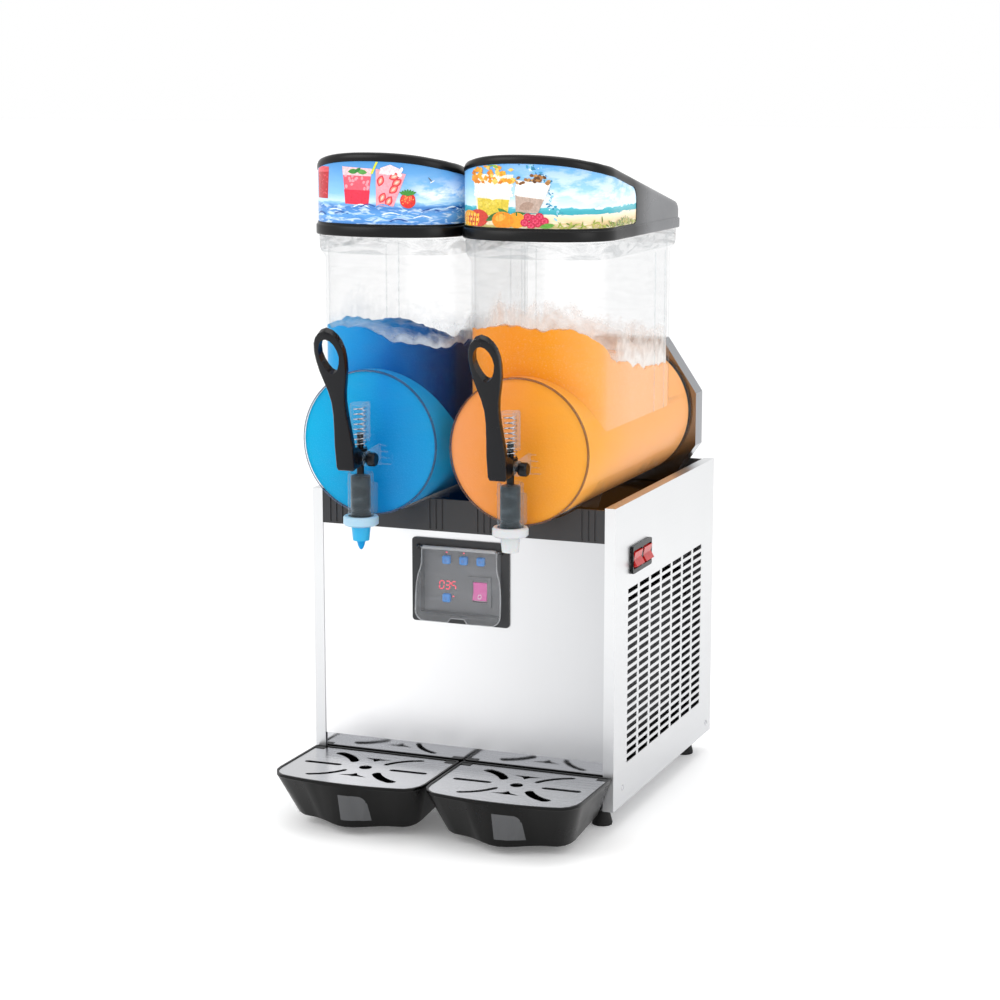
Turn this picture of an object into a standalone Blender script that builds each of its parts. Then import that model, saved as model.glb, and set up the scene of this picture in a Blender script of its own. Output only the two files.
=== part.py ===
# Two-bowl slushie machine. Metres, Z up, the front looks towards -Y. The floor is Z = 0 and the
# cabinet's front face is Y = 0 before the whole machine is moved back over its own middle.
import math

import bmesh
import bpy
from mathutils import Matrix, Vector

# ---- overall sizes ----
CAB_W = 0.400           # cabinet width
CAB_D = 0.403           # cabinet depth
SHELL_H = 0.3754        # height of the sheet-metal shell
FOOT_H = 0.027
HOPPER_H = 0.2462        # bowl axis to the bowl's rim
HOOD_H = 0.104          # lid height at the front

# ---- sheet metal and clearances ----
SHEET = 0.0012
FLANGE = 0.0135         # turned-in edge of a side panel
GAP = 0.0003            # between pieces that touch
RUN = 0.0005            # round a piece that turns

# ---- bowls ----
BOWL_PITCH = CAB_W * 0.4835
BOWL_APART = 0.0164     # between the two bowls
BOWL_R = (BOWL_PITCH - BOWL_APART) / 2
WALL = 0.0035           # bowl wall
OVERHANG = 0.054        # bowl face in front of the cabinet
DECK_DROP = 0.0254      # deck below the shell's top edge
DECK_CLEAR = 0.0075     # bowl above the deck
DECK_TOP = FOOT_H + SHELL_H - DECK_DROP
AXIS_Z = DECK_TOP + DECK_CLEAR + BOWL_R
BOWL_END = CAB_D - 0.058
HOPPER_HW = BOWL_R - 0.0022
HOPPER_REAR = CAB_D - 0.139
RIM_OUT = 0.0065        # how far the rim stands out of the hopper wall
RIM_TALL = 0.023
RIM_TOP = AXIS_Z + HOPPER_H

# ---- drum and auger ----
DRUM_R = BOWL_R * 0.62
AUGER_R = BOWL_R * 0.88
SHAFT_R = 0.008
AUGER_TURNS = 3

# ---- tap ----
TAP_Y = -0.079          # barrel axis
TAP_BASE = AXIS_Z - BOWL_R - 0.005
BARREL_R = 0.0155
BARREL_BORE = 0.0125
PIN_Y = TAP_Y - 0.014
PIN_Z = TAP_BASE + 0.0803
PIN_R = 0.003
NOSE = 0.016            # lever arm from the pin to the piston collar
LEVER_HW = 0.0115
LEVER_L = 0.182
LEVER_T = 0.012
SPRING_R = 0.0075
SPRING_COILS = 6

# ---- trays ----
TRAY_TOP = FOOT_H + 0.0435
TRAY_REACH = 0.144      # front of the tray ahead of the cabinet
TRAY_W = CAB_W / 2 - 0.003

# ---- control box and switches ----
STRIP_BOT = FOOT_H + SHELL_H - 0.0433
BOX_HW, BOX_H = 0.0643, 0.105
RECESS_HW, RECESS_H = 0.053, 0.0825
BOX_TOP = STRIP_BOT - 0.009
KEY = 0.0106
KEY_PITCH = 0.0228
SWITCH_D, SWITCH_H = 0.072, 0.034
SWITCH_PROUD = 0.0035

# The machine's middle, front handle to rear inlet, sits over the origin.
INLET_PROUD = 0.006
MID_Y = (CAB_D + INLET_PROUD + PIN_Y - 0.087) / 2

SIDES = {"left": -1, "right": 1}

COLOURS = {
    "stainless": ((0.72, 0.72, 0.73), 1.0, 0.30, 0.0),
    "polished": ((0.78, 0.78, 0.80), 1.0, 0.12, 0.0),
    "clear": ((0.90, 0.93, 0.95), 0.0, 0.05, 0.9),
    "black_plastic": ((0.025, 0.025, 0.028), 0.0, 0.40, 0.0),
    "grey_plastic": ((0.22, 0.22, 0.23), 0.0, 0.45, 0.0),
    "dark_grey": ((0.07, 0.07, 0.075), 0.0, 0.50, 0.0),
    "white_plastic": ((0.85, 0.85, 0.84), 0.0, 0.35, 0.0),
    "picture": ((0.45, 0.70, 0.90), 0.0, 0.30, 0.0),
    "blue_key": ((0.08, 0.35, 0.75), 0.0, 0.35, 0.0),
    "lit_rocker": ((0.85, 0.15, 0.20), 0.0, 0.25, 0.3),
    "rubber": ((0.03, 0.03, 0.03), 0.0, 0.70, 0.0),
    "steel_wire": ((0.60, 0.60, 0.62), 1.0, 0.25, 0.0),
    "black_paint": ((0.03, 0.03, 0.03), 0.3, 0.45, 0.0),
    "fins": ((0.65, 0.66, 0.68), 1.0, 0.40, 0.0),
}


# ---------------------------------------------------------------- geometry

def to_object(bm):
    bmesh.ops.remove_doubles(bm, verts=bm.verts, dist=1e-7)
    bmesh.ops.connect_verts_nonplanar(bm, angle_limit=1e-3, faces=bm.faces)
    bmesh.ops.recalc_face_normals(bm, faces=bm.faces)
    mesh = bpy.data.meshes.new("solid")
    bm.to_mesh(mesh)
    bm.free()
    obj = bpy.data.objects.new("solid", mesh)
    bpy.context.scene.collection.objects.link(obj)
    return obj


def axis_point(axis, u, v, w):
    """A point from two in-plane values, in X, Y, Z order, and one along the axis."""
    return {"X": (w, u, v), "Y": (u, w, v), "Z": (u, v, w)}[axis]


def prism(outline, axis, low, high):
    bm = bmesh.new()
    ends = [[bm.verts.new(axis_point(axis, u, v, w)) for u, v in outline] for w in (low, high)]
    for ring in ends:
        bm.faces.new(ring)
    count = len(outline)
    for k in range(count):
        n = (k + 1) % count
        bm.faces.new((ends[0][k], ends[0][n], ends[1][n], ends[1][k]))
    return to_object(bm)


def box(x0, x1, y0, y1, z0, z1):
    return prism([(x0, y0), (x1, y0), (x1, y1), (x0, y1)], "Z", z0, z1)


def boxes(spans):
    """Many separate boxes in one object, for cutting a grid of slots at once."""
    bm = bmesh.new()
    for x0, x1, y0, y1, z0, z1 in spans:
        cube = bmesh.ops.create_cube(bm, size=1.0)["verts"]
        size = Matrix.Diagonal((x1 - x0, y1 - y0, z1 - z0, 1))
        move = Matrix.Translation(((x0 + x1) / 2, (y0 + y1) / 2, (z0 + z1) / 2))
        bmesh.ops.transform(bm, matrix=move @ size, verts=cube)
    return to_object(bm)


def lathe(profile, axis, at, segments=32):
    """A closed profile of (radius, height) turned about an axis through a point."""
    bm = bmesh.new()
    rings = []
    for radius, height in profile:
        count = segments if radius > 0 else 1
        ring = []
        for k in range(count):
            turn = 2 * math.pi * k / segments
            spot = axis_point(axis, radius * math.cos(turn), radius * math.sin(turn), height)
            ring.append(bm.verts.new(Vector(spot) + Vector(at)))
        rings.append(ring)
    for one, two in zip(rings, rings[1:] + rings[:1]):
        if len(one) == 1 and len(two) == 1:
            continue
        for k in range(segments):
            n = (k + 1) % segments
            corners = [one[k % len(one)], one[n % len(one)], two[n % len(two)], two[k % len(two)]]
            face = [c for i, c in enumerate(corners) if c not in corners[:i]]
            bm.faces.new(face)
    return to_object(bm)


def rod(axis, at, radius, low, high, segments=24):
    return lathe([(0, low), (radius, low), (radius, high), (0, high)], axis, at, segments)


def ring(axis, at, inner, outer, low, high, segments=24):
    return lathe([(inner, low), (outer, low), (outer, high), (inner, high)], axis, at, segments)


def stack(levels, cross):
    """Rings one over another, given by their right halves, mirrored about X = cross and closed."""
    bm = bmesh.new()
    rights = [[bm.verts.new(p) for p in level] for level in levels]
    lefts = [[bm.verts.new((-v.co.x, v.co.y, v.co.z)) if v.co.x else v for v in right] for right in rights]

    def face(corners):
        bm.faces.new([c for k, c in enumerate(corners) if c not in corners[:k]])
    for right, left in ((rights[0], lefts[0]), (rights[-1], lefts[-1])):
        for k in range(len(right) - 1):
            face([right[k], right[k + 1], left[k + 1], left[k]])
    rings = [right + [v for v in left[::-1] if v not in right] for right, left in zip(rights, lefts)]
    for low, high in zip(rings, rings[1:]):
        for k in range(len(low)):
            n = (k + 1) % len(low)
            face([low[k], low[n], high[n], high[k]])
    for vert in bm.verts:
        vert.co.x += cross
    return to_object(bm)


def remove(obj):
    mesh = obj.data
    bpy.data.objects.remove(obj)
    bpy.data.meshes.remove(mesh)


def combine(base, tools, operation):
    """Boolean the tools into the base mesh in one go, then drop them."""
    group = bpy.data.collections.new("tools")
    for tool in tools:
        group.objects.link(tool)
    step = base.modifiers.new("step", "BOOLEAN")
    step.operation = operation
    step.solver = "EXACT"
    step.operand_type = "COLLECTION"
    step.collection = group
    bpy.context.view_layer.update()
    graph = bpy.context.evaluated_depsgraph_get()
    result = bpy.data.meshes.new_from_object(base.evaluated_get(graph))
    base.modifiers.clear()
    old, base.data = base.data, result
    bpy.data.meshes.remove(old)
    for tool in tools:
        remove(tool)
    bpy.data.collections.remove(group)
    return base


def add(base, *tools):
    return combine(base, tools, "UNION")


def cut(base, *tools):
    return combine(base, tools, "DIFFERENCE")


def arc(cx, cy, radius, start, end, steps):
    """Points on an arc, angles in degrees."""
    turns = [math.radians(start + (end - start) * k / steps) for k in range(steps + 1)]
    return [(cx + radius * math.cos(t), cy + radius * math.sin(t)) for t in turns]


def rounded(u0, u1, v0, v1, radius, steps=3):
    return (arc(u1 - radius, v1 - radius, radius, 0, 90, steps)
            + arc(u0 + radius, v1 - radius, radius, 90, 180, steps)
            + arc(u0 + radius, v0 + radius, radius, 180, 270, steps)
            + arc(u1 - radius, v0 + radius, radius, 270, 360, steps))


def hull(points):
    """Convex outline round a set of points."""
    points = sorted(set((round(u, 7), round(v, 7)) for u, v in points))

    def half(run):
        chain = []
        for p in run:
            while len(chain) > 1:
                (au, av), (bu, bv) = chain[-2], chain[-1]
                if (bu - au) * (p[1] - av) - (bv - av) * (p[0] - au) > 0:
                    break
                chain.pop()
            chain.append(p)
        return chain[:-1]
    return half(points) + half(points[::-1])


# ---------------------------------------------------------------- nodes

def make_materials():
    made = {}
    for name, (colour, metallic, roughness, clear) in COLOURS.items():
        material = bpy.data.materials.new(name)
        material.use_nodes = True
        shader = material.node_tree.nodes["Principled BSDF"]
        shader.inputs["Base Color"].default_value = (*colour, 1)
        shader.inputs["Metallic"].default_value = metallic
        shader.inputs["Roughness"].default_value = roughness
        shader.inputs["Transmission Weight"].default_value = clear
        made[name] = material
    return made


def node(name, obj, material, origin=(0, 0, 0)):
    """Name a finished solid, give it its own material and put its origin on its joint."""
    bm = bmesh.new()
    bm.from_mesh(obj.data)
    bmesh.ops.remove_doubles(bm, verts=bm.verts, dist=2e-6)
    bmesh.ops.dissolve_degenerate(bm, edges=bm.edges, dist=2e-6)
    for face in bm.faces:
        face.smooth = True
    bmesh.ops.translate(bm, vec=-Vector(origin), verts=bm.verts)
    bm.to_mesh(obj.data)
    bm.free()
    obj.data.set_sharp_from_angle(angle=math.radians(32))
    obj.name = obj.data.name = name
    own = materials[material].copy()
    own.name = name
    obj.data.materials.clear()
    obj.data.materials.append(own)
    obj.location = origin
    obj.parent = machine
    return obj


for item in list(bpy.data.objects):
    bpy.data.objects.remove(item)
machine = bpy.data.objects.new("machine", None)
machine.location = (0, -MID_Y, 0)
bpy.context.scene.collection.objects.link(machine)
materials = make_materials()


# ---------------------------------------------------------------- cabinet

HALF_W = CAB_W / 2
INNER_HW = HALF_W - SHEET - GAP
FACE_HW = HALF_W - FLANGE - GAP
SHELL_TOP = FOOT_H + SHELL_H
PANEL_BOT = FOOT_H + 0.0608
UPSTAND_Y = 2 * SHEET + 2 * GAP
VENT_COLS, VENT_ROWS, LEFT_ROWS = 7, 22, 8
VENT_Y, VENT_Z = (0.0495, CAB_D - 0.053), (FOOT_H + 0.0499, SHELL_TOP - 0.1075)
SLOT_H, SLOT_BREAK = 0.0058, 0.0075
SWITCH_Y, SWITCH_Z = 0.0922, SHELL_TOP - 0.0733
TAB_W, TAB_T, TAB_Z = 0.014, 0.003, FOOT_H + 0.034
RED_HW = SWITCH_D / 4 - 0.0035


def vent_slots(side, rows):
    pitch_y = (VENT_Y[1] - VENT_Y[0] + SLOT_BREAK) / VENT_COLS
    pitch_z = (VENT_Z[1] - VENT_Z[0] - SLOT_H) / (VENT_ROWS - 1)
    spans = []
    for col in range(VENT_COLS):
        for row in range(rows):
            y, z = VENT_Y[0] + col * pitch_y, VENT_Z[0] + row * pitch_z
            x0, x1 = sorted((side * (HALF_W - 2 * SHEET), side * (HALF_W + SHEET)))
            spans.append((x0, x1, y, y + pitch_y - SLOT_BREAK, z, z + SLOT_H))
    return boxes(spans)


for word, side in SIDES.items():
    x0, x1 = sorted((side * HALF_W, side * (HALF_W - FLANGE)))
    panel = box(x0, x1, 0, CAB_D, FOOT_H, SHELL_TOP)
    x0, x1 = sorted((side * (HALF_W - SHEET), side * (HALF_W - 2 * FLANGE)))
    cut(panel, box(x0, x1, SHEET, CAB_D - SHEET, 0, SHELL_TOP - SHEET),
        vent_slots(side, VENT_ROWS if side > 0 else LEFT_ROWS))
    if side > 0:
        reach_y, reach_z = SWITCH_D / 2 - 0.003, SWITCH_H / 2 - 0.003
        cut(panel, box(HALF_W - 0.01, HALF_W + 0.01, SWITCH_Y - reach_y - GAP, SWITCH_Y + reach_y + GAP,
                       SWITCH_Z - reach_z - GAP, SWITCH_Z + reach_z + GAP))
    node(f"side_panel_{word}", panel, "stainless")

# The base pan has a polished front upstand, which shows behind the trays, with slots for their tabs.
pan = box(-INNER_HW, INNER_HW, UPSTAND_Y, CAB_D - SHEET - GAP, FOOT_H, FOOT_H + SHEET)
pan = add(pan, box(-INNER_HW, INNER_HW, UPSTAND_Y, UPSTAND_Y + SHEET, FOOT_H, PANEL_BOT + 0.008))
TRAY_X = CAB_W / 4
for side in SIDES.values():
    for part in (-1, 1):
        mid = side * TRAY_X + part * TRAY_W / 4
        cut(pan, box(mid - TAB_W / 2 - GAP, mid + TAB_W / 2 + GAP, 0, 0.02,
                     TAB_Z - GAP, TAB_Z + TAB_T + GAP))
node("base_pan", pan, "polished")

front = box(-INNER_HW, INNER_HW, SHEET + GAP, 2 * SHEET + GAP, PANEL_BOT, STRIP_BOT - GAP)
BODY_HW, BODY_Z = BOX_HW - 0.005, (BOX_TOP - BOX_H + 0.005, BOX_TOP - 0.005)
cut(front, box(-BODY_HW - GAP, BODY_HW + GAP, -0.01, 0.01, BODY_Z[0] - GAP, BODY_Z[1] + GAP))
node("front_panel", front, "stainless")

strip = box(-FACE_HW, FACE_HW, 0, 0.0042, STRIP_BOT, SHELL_TOP - 0.003)
GROOVES = [side * mid * HALF_W + k * 0.0082 for side in (-1, 1) for mid in (0.158, 0.832) for k in (-1, 0, 1)]
cut(strip, boxes([(x - 0.0012, x + 0.0012, -0.001, 0.0013, STRIP_BOT + 0.0025, SHELL_TOP) for x in GROOVES]))
for side in SIDES.values():
    cut(strip, rod("Y", (side * BOWL_PITCH / 2, 0, AXIS_Z), BOWL_R + 0.003, -0.01, 0.02, 60))
node("front_strip", strip, "dark_grey")

deck = box(-INNER_HW, INNER_HW, 0.0045, CAB_D - 2 * SHEET - 2 * GAP, DECK_TOP - 0.003, DECK_TOP)
node("top_deck", deck, "black_plastic")

rear = box(-INNER_HW, INNER_HW, CAB_D - 2 * SHEET - GAP, CAB_D - SHEET - GAP,
           FOOT_H + SHEET + GAP, SHELL_TOP - SHEET - GAP)
INLET_X, INLET_Z = -0.135, FOOT_H + 0.060
cut(rear, boxes([(x - 0.042, x + 0.042, CAB_D - 0.02, CAB_D + 0.01, z, z + 0.005)
                 for x in (-0.05, 0.05) for z in [FOOT_H + 0.14 + 0.018 * k for k in range(8)]]))
cut(rear, box(INLET_X - 0.0135, INLET_X + 0.0135, CAB_D - 0.02, CAB_D + 0.02, INLET_Z - 0.0095, INLET_Z + 0.0095))
node("rear_panel", rear, "stainless")

inlet = box(INLET_X - 0.017, INLET_X + 0.017, CAB_D - SHEET, CAB_D + INLET_PROUD, INLET_Z - 0.013, INLET_Z + 0.013)
inlet = add(inlet, box(INLET_X - 0.0132, INLET_X + 0.0132, CAB_D - 0.022, CAB_D, INLET_Z - 0.0092, INLET_Z + 0.0092))
cut(inlet, box(INLET_X - 0.0115, INLET_X + 0.0115, CAB_D - 0.014, CAB_D + 0.02, INLET_Z - 0.0075, INLET_Z + 0.0075))
for k in (-1, 0, 1):
    inlet = add(inlet, box(INLET_X + k * 0.006 - 0.001, INLET_X + k * 0.006 + 0.001, CAB_D - 0.016,
                           CAB_D + 0.002, INLET_Z - 0.002, INLET_Z + 0.002))
node("power_inlet", inlet, "black_plastic")

for word, side in SIDES.items():
    for end, y in (("front", 0.035), ("rear", CAB_D - 0.035)):
        profile = [(0, 0), (0.0125, 0), (0.0130, 0.002), (0.0090, 0.017), (0.0090, FOOT_H - GAP), (0, FOOT_H - GAP)]
        node(f"foot_{end}_{word}", lathe(profile, "Z", (side * (HALF_W - 0.026), y, 0), 12), "rubber")


# ---------------------------------------------------------------- control box

PLATE_Y = 0.0105
BOX_MID = BOX_TOP - BOX_H / 2
FLAP_Y, FLAP_Z = -0.0042, BOX_TOP - 0.0110
FLAP_HW, FLAP_L = 0.0500, 0.0915
EAR_X = RECESS_HW + 0.0005

bezel = prism(rounded(-BOX_HW, BOX_HW, BOX_TOP - BOX_H, BOX_TOP, 0.004), "Y", -0.0008, 0.0012)
bezel = add(bezel, box(-BODY_HW, BODY_HW, 0, 0.0155, *BODY_Z))
RECESS_Z = (BOX_MID - RECESS_H / 2, BOX_MID + RECESS_H / 2)
cut(bezel, box(-RECESS_HW, RECESS_HW, -0.01, 0.03, *RECESS_Z))
for side in SIDES.values():
    x0, x1 = sorted((side * EAR_X, side * (EAR_X + 0.003)))
    ear = prism(hull(arc(FLAP_Y, FLAP_Z, 0.0026, 0, 360, 12) + [(0.0, FLAP_Z + 0.0026), (0.0, FLAP_Z - 0.0026)]),
                "X", x0, x1)
    bezel = add(bezel, ear)
cut(bezel, rod("X", (0, FLAP_Y, FLAP_Z), 0.0012 + GAP, -EAR_X - 0.01, EAR_X + 0.01, 10))
node("control_bezel", bezel, "dark_grey")

KEYS = {"button_a": (-KEY_PITCH, 0.0279), "button_b": (0, 0.0276), "button_c": (KEY_PITCH, 0.0273),
        "button_set": (-KEY_PITCH, 0.0760)}
ROCKER_X, ROCKER_Z, ROCKER_HW, ROCKER_HH = 0.0222, BOX_TOP - 0.0649, 0.0090, 0.0125
plate = box(-RECESS_HW + GAP, RECESS_HW - GAP, PLATE_Y, PLATE_Y + 0.0025, RECESS_Z[0] + GAP, RECESS_Z[1] - GAP)
plate = add(plate, box(ROCKER_X - 0.0145, ROCKER_X + 0.0145, PLATE_Y - 0.0025, PLATE_Y + 0.001,
                       ROCKER_Z - 0.0185, ROCKER_Z + 0.0185))
holes = [box(ROCKER_X - ROCKER_HW - RUN, ROCKER_X + ROCKER_HW + RUN, -0.01, 0.03,
             ROCKER_Z - ROCKER_HH - RUN, ROCKER_Z + ROCKER_HH + RUN)]
for x, drop in KEYS.values():
    reach = KEY / 2 + GAP
    holes.append(box(x - reach, x + reach, -0.01, 0.03, BOX_TOP - drop - reach, BOX_TOP - drop + reach))
node("control_plate", cut(plate, *holes), "grey_plastic")

for name, (x, drop) in KEYS.items():
    half = KEY / 2
    levels = []
    for y, inset in ((PLATE_Y - 0.0040, 0.0016), (PLATE_Y - 0.0030, 0.0004), (PLATE_Y - 0.0022, 0), (PLATE_Y + 0.005, 0)):
        z = BOX_TOP - drop
        levels.append((y, rounded(x - half + inset, x + half - inset, z - half + inset, z + half - inset, 0.0016, 1)))
    bm = bmesh.new()
    rings = [[bm.verts.new((u, y, v)) for u, v in outline] for y, outline in levels]
    bm.faces.new(rings[0])
    bm.faces.new(rings[-1])
    for low, high in zip(rings, rings[1:]):
        for k in range(len(low)):
            n = (k + 1) % len(low)
            bm.faces.new((low[k], low[n], high[n], high[k]))
    node(name, to_object(bm), "blue_key", (x, PLATE_Y, BOX_TOP - drop))


def rocker(hw, reach, proud, tilt, pivot, across):
    """A see-saw key: two flat faces meeting in a shallow V, tilted about its pivot."""
    top = [(proud * 0.45, 0), (proud, reach * 0.96), (proud * 0.7, reach), (-0.004, reach),
           (-0.004, -reach), (proud * 0.7, -reach), (proud, -reach * 0.96)]
    turn = math.radians(tilt)
    shape = [(u * math.cos(turn) - v * math.sin(turn), u * math.sin(turn) + v * math.cos(turn)) for u, v in top]
    if across == "X":
        return prism([(pivot[1] - u, pivot[2] + v) for u, v in shape], "X", pivot[0] - hw, pivot[0] + hw)
    return prism([(pivot[0] + u, pivot[2] + v) for u, v in shape], "Y", pivot[1] - hw, pivot[1] + hw)


ROCKER_PIVOT = (ROCKER_X, PLATE_Y + 0.0005, ROCKER_Z)
node("control_rocker", rocker(ROCKER_HW, ROCKER_HH - 0.0012, 0.0040, 8, ROCKER_PIVOT, "X"), "lit_rocker", ROCKER_PIVOT)

# The flap flares towards its lower edge, which has a finger notch.
flare = [(FLAP_HW, -0.0008), (FLAP_HW, 0.020), (FLAP_HW + 0.004, 0.034), (FLAP_HW + 0.0065, 0.060)]
lower = arc(FLAP_HW - 0.0055, FLAP_L - 0.012, 0.012, 0, 90, 4)
notch = [(0.013, FLAP_L), (0.009, FLAP_L - 0.0055)]
right = flare + lower + notch
outline = [(x, FLAP_Z - d) for x, d in right] + [(-x, FLAP_Z - d) for x, d in right[::-1]]
flap = prism(outline, "Y", FLAP_Y - 0.0010, FLAP_Y + 0.0010)
tools = [rod("X", (0, FLAP_Y, FLAP_Z), 0.0021, -FLAP_HW + 0.002, FLAP_HW - 0.002, 10),
         box(-0.036, 0.036, FLAP_Y - 0.0040, FLAP_Y, FLAP_Z - FLAP_L + 0.008, FLAP_Z - FLAP_L + 0.0095)]
for side in SIDES.values():
    x0, x1 = sorted((side * (FLAP_HW - 0.004), side * (EAR_X + 0.0025)))
    tools.append(rod("X", (0, FLAP_Y, FLAP_Z), 0.0012, x0, x1, 10))
flap = add(flap, *tools)
swing = (Matrix.Translation((0, FLAP_Y, FLAP_Z)) @ Matrix.Rotation(math.radians(-4.5), 4, "X")
         @ Matrix.Translation((0, -FLAP_Y, -FLAP_Z)))
flap.data.transform(swing)
node("control_flap", flap, "clear", (0, FLAP_Y, FLAP_Z))


# ---------------------------------------------------------------- side switches

FRAME_X = HALF_W + GAP
frame = prism(rounded(SWITCH_Y - SWITCH_D / 2, SWITCH_Y + SWITCH_D / 2, SWITCH_Z - SWITCH_H / 2,
                      SWITCH_Z + SWITCH_H / 2, 0.003), "X", FRAME_X, FRAME_X + SWITCH_PROUD)
frame = add(frame, box(HALF_W - 0.016, FRAME_X + 0.001, SWITCH_Y - SWITCH_D / 2 + 0.003,
                       SWITCH_Y + SWITCH_D / 2 - 0.003, SWITCH_Z - SWITCH_H / 2 + 0.003, SWITCH_Z + SWITCH_H / 2 - 0.003))
RED_HH = SWITCH_H / 2 - 0.0060
for part in (-1, 1):
    mid = SWITCH_Y + part * SWITCH_D / 4
    cut(frame, box(HALF_W - 0.012, HALF_W + 0.02, mid - RED_HW - RUN, mid + RED_HW + RUN,
                   SWITCH_Z - RED_HH - RUN, SWITCH_Z + RED_HH + RUN))
node("side_switch_frame", frame, "black_plastic")
for name, part in (("side_rocker_front", -1), ("side_rocker_rear", 1)):
    pivot = (FRAME_X + SWITCH_PROUD - 0.003, SWITCH_Y + part * SWITCH_D / 4, SWITCH_Z)
    node(name, rocker(RED_HW, RED_HH - 0.0020, 0.0060, 9, pivot, "Y"), "lit_rocker", pivot)


# ---------------------------------------------------------------- inside the cabinet

can_z = FOOT_H + SHEET + GAP
profile = [(0, 0), (0.050, 0), (0.056, 0.010), (0.056, 0.085), (0.048, 0.108), (0.025, 0.120), (0, 0.123)]
COMP_X, COMP_Y = -0.095, CAB_D * 0.70
compressor = lathe([(r, h + can_z) for r, h in profile], "Z", (COMP_X, COMP_Y, 0), 18)
compressor = add(compressor, box(COMP_X - 0.07, COMP_X + 0.07, COMP_Y - 0.045, COMP_Y + 0.045, can_z, can_z + 0.003))
node("compressor", compressor, "black_paint")

COND_X, COND_Y, COND_FINS = HALF_W - 0.052, (0.055, CAB_D - 0.06), 20
fins = box(COND_X, COND_X + 0.030, *COND_Y, can_z, can_z + 0.235)
step = (COND_Y[1] - COND_Y[0]) / COND_FINS
cut(fins, boxes([(COND_X - 0.01, COND_X + 0.026, COND_Y[0] + (k - 0.2) * step, COND_Y[0] + (k + 0.2) * step,
                  can_z - 0.01, can_z + 0.25) for k in range(1, COND_FINS)]))
node("condenser", fins, "fins")

FAN_X, FAN_Y, FAN_Z, FAN_R = COND_X - 0.030, CAB_D * 0.5, can_z + 0.120, 0.085
motor = rod("X", (0, FAN_Y, FAN_Z), 0.032, FAN_X - 0.060, FAN_X - 0.012, 18)
motor = add(motor, box(FAN_X - 0.050, FAN_X - 0.045, FAN_Y - 0.030, FAN_Y + 0.030, can_z, FAN_Z),
            box(FAN_X - 0.062, FAN_X - 0.030, FAN_Y - 0.030, FAN_Y + 0.030, can_z, can_z + 0.003))
motor = add(motor, rod("X", (0, FAN_Y, FAN_Z), 0.003, FAN_X - 0.02, FAN_X + 0.006, 12))
node("fan_motor", motor, "black_paint")
blade = ring("X", (0, FAN_Y, FAN_Z), 0.003 + RUN, 0.016, FAN_X - 0.008, FAN_X + 0.008, 16)
for k in range(5):
    leaf = prism(hull([(0.012, -0.008), (0.012, 0.008), (FAN_R - 0.008, -0.022), (FAN_R, -0.010), (FAN_R, 0.012),
                       (FAN_R - 0.006, 0.024)]), "Z", -0.0009, 0.0009)
    leaf.data.transform(Matrix.Translation((FAN_X, FAN_Y, FAN_Z)) @ Matrix.Rotation(2 * math.pi * k / 5, 4, "X")
                        @ Matrix.Rotation(math.radians(90), 4, "Y") @ Matrix.Rotation(math.radians(24), 4, "X"))
    blade = add(blade, leaf)
node("fan_blade", blade, "grey_plastic", (FAN_X, FAN_Y, FAN_Z))


# ---------------------------------------------------------------- bowls and lids

def plan(hw, front, rear, inset, steps=8):
    """Right half of a hopper or lid seen from above, from the middle of its bowed front round to the rear."""
    hw, front, rear = hw - inset, front + inset, rear - inset
    side_y = 0.020
    points = []
    for k in range(steps + 1):
        turn = math.pi / 2 * k / steps
        points.append((hw * math.sin(turn) ** 0.90, side_y - (side_y - front) * math.cos(turn) ** 0.90))
    points[0], points[-1] = (0, front), (hw, side_y)
    corner = 0.014 - min(inset, 0.008)
    return points + arc(hw - corner, rear - corner, corner, 0, 90, 3)


def level(half, height):
    return [(x, y, height(y) if callable(height) else height) for x, y in half]


def hopper(inset):
    return plan(HOPPER_HW, -0.032, HOPPER_REAR, inset)


LID_HW, LID_FRONT, LID_REAR = HOPPER_HW + RIM_OUT + 0.001, -0.0455, HOPPER_REAR + RIM_OUT + 0.001
LID_Z = RIM_TOP + GAP
LID_WALL = 0.003
LID_BAND = 0.0150
PICTURE_END = CAB_D * 0.237


def lid_top(y):
    """The lid's top falls in a long arch from its front edge, and turns down at its rear edge."""
    knots = [(-1, 1.000), (LID_FRONT, 1.000), (-0.020, 0.915), (0.000, 0.865), (0.020, 0.830),
             (LID_REAR - 0.014, 0.330), (LID_REAR, 0.230)]
    for (ya, fa), (yb, fb) in zip(knots, knots[1:]):
        if y <= yb:
            return LID_Z + HOOD_H * (fa + (fb - fa) * (y - ya) / (yb - ya))
    return LID_Z + HOOD_H * knots[-1][1]


def lid_solid(inset, low, drop=0.0, soft=0.005):
    rows = [(inset, low), (inset, lambda y: lid_top(y) - drop - soft), (inset + soft, lambda y: lid_top(y) - drop)]
    return [level(plan(LID_HW, LID_FRONT, LID_REAR, i), h) for i, h in rows]


def picture_shape(grow):
    """Side view of the lid's picture window."""
    low, top = LID_Z + LID_BAND - grow, -0.0120 + grow
    ys = [-0.08, LID_FRONT, -0.020, 0.0, 0.020, PICTURE_END - 0.014]
    upper = [(y, lid_top(y) + top) for y in ys]
    end = PICTURE_END + grow
    corner = lid_top(PICTURE_END) + top
    return upper + [(end - 0.0075, corner), (end - 0.002, corner - 0.0045), (end, corner - 0.011), (end, low + 0.009),
                    (end - 0.003, low + 0.0025), (end - 0.009, low), (-0.08, low)]


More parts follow.
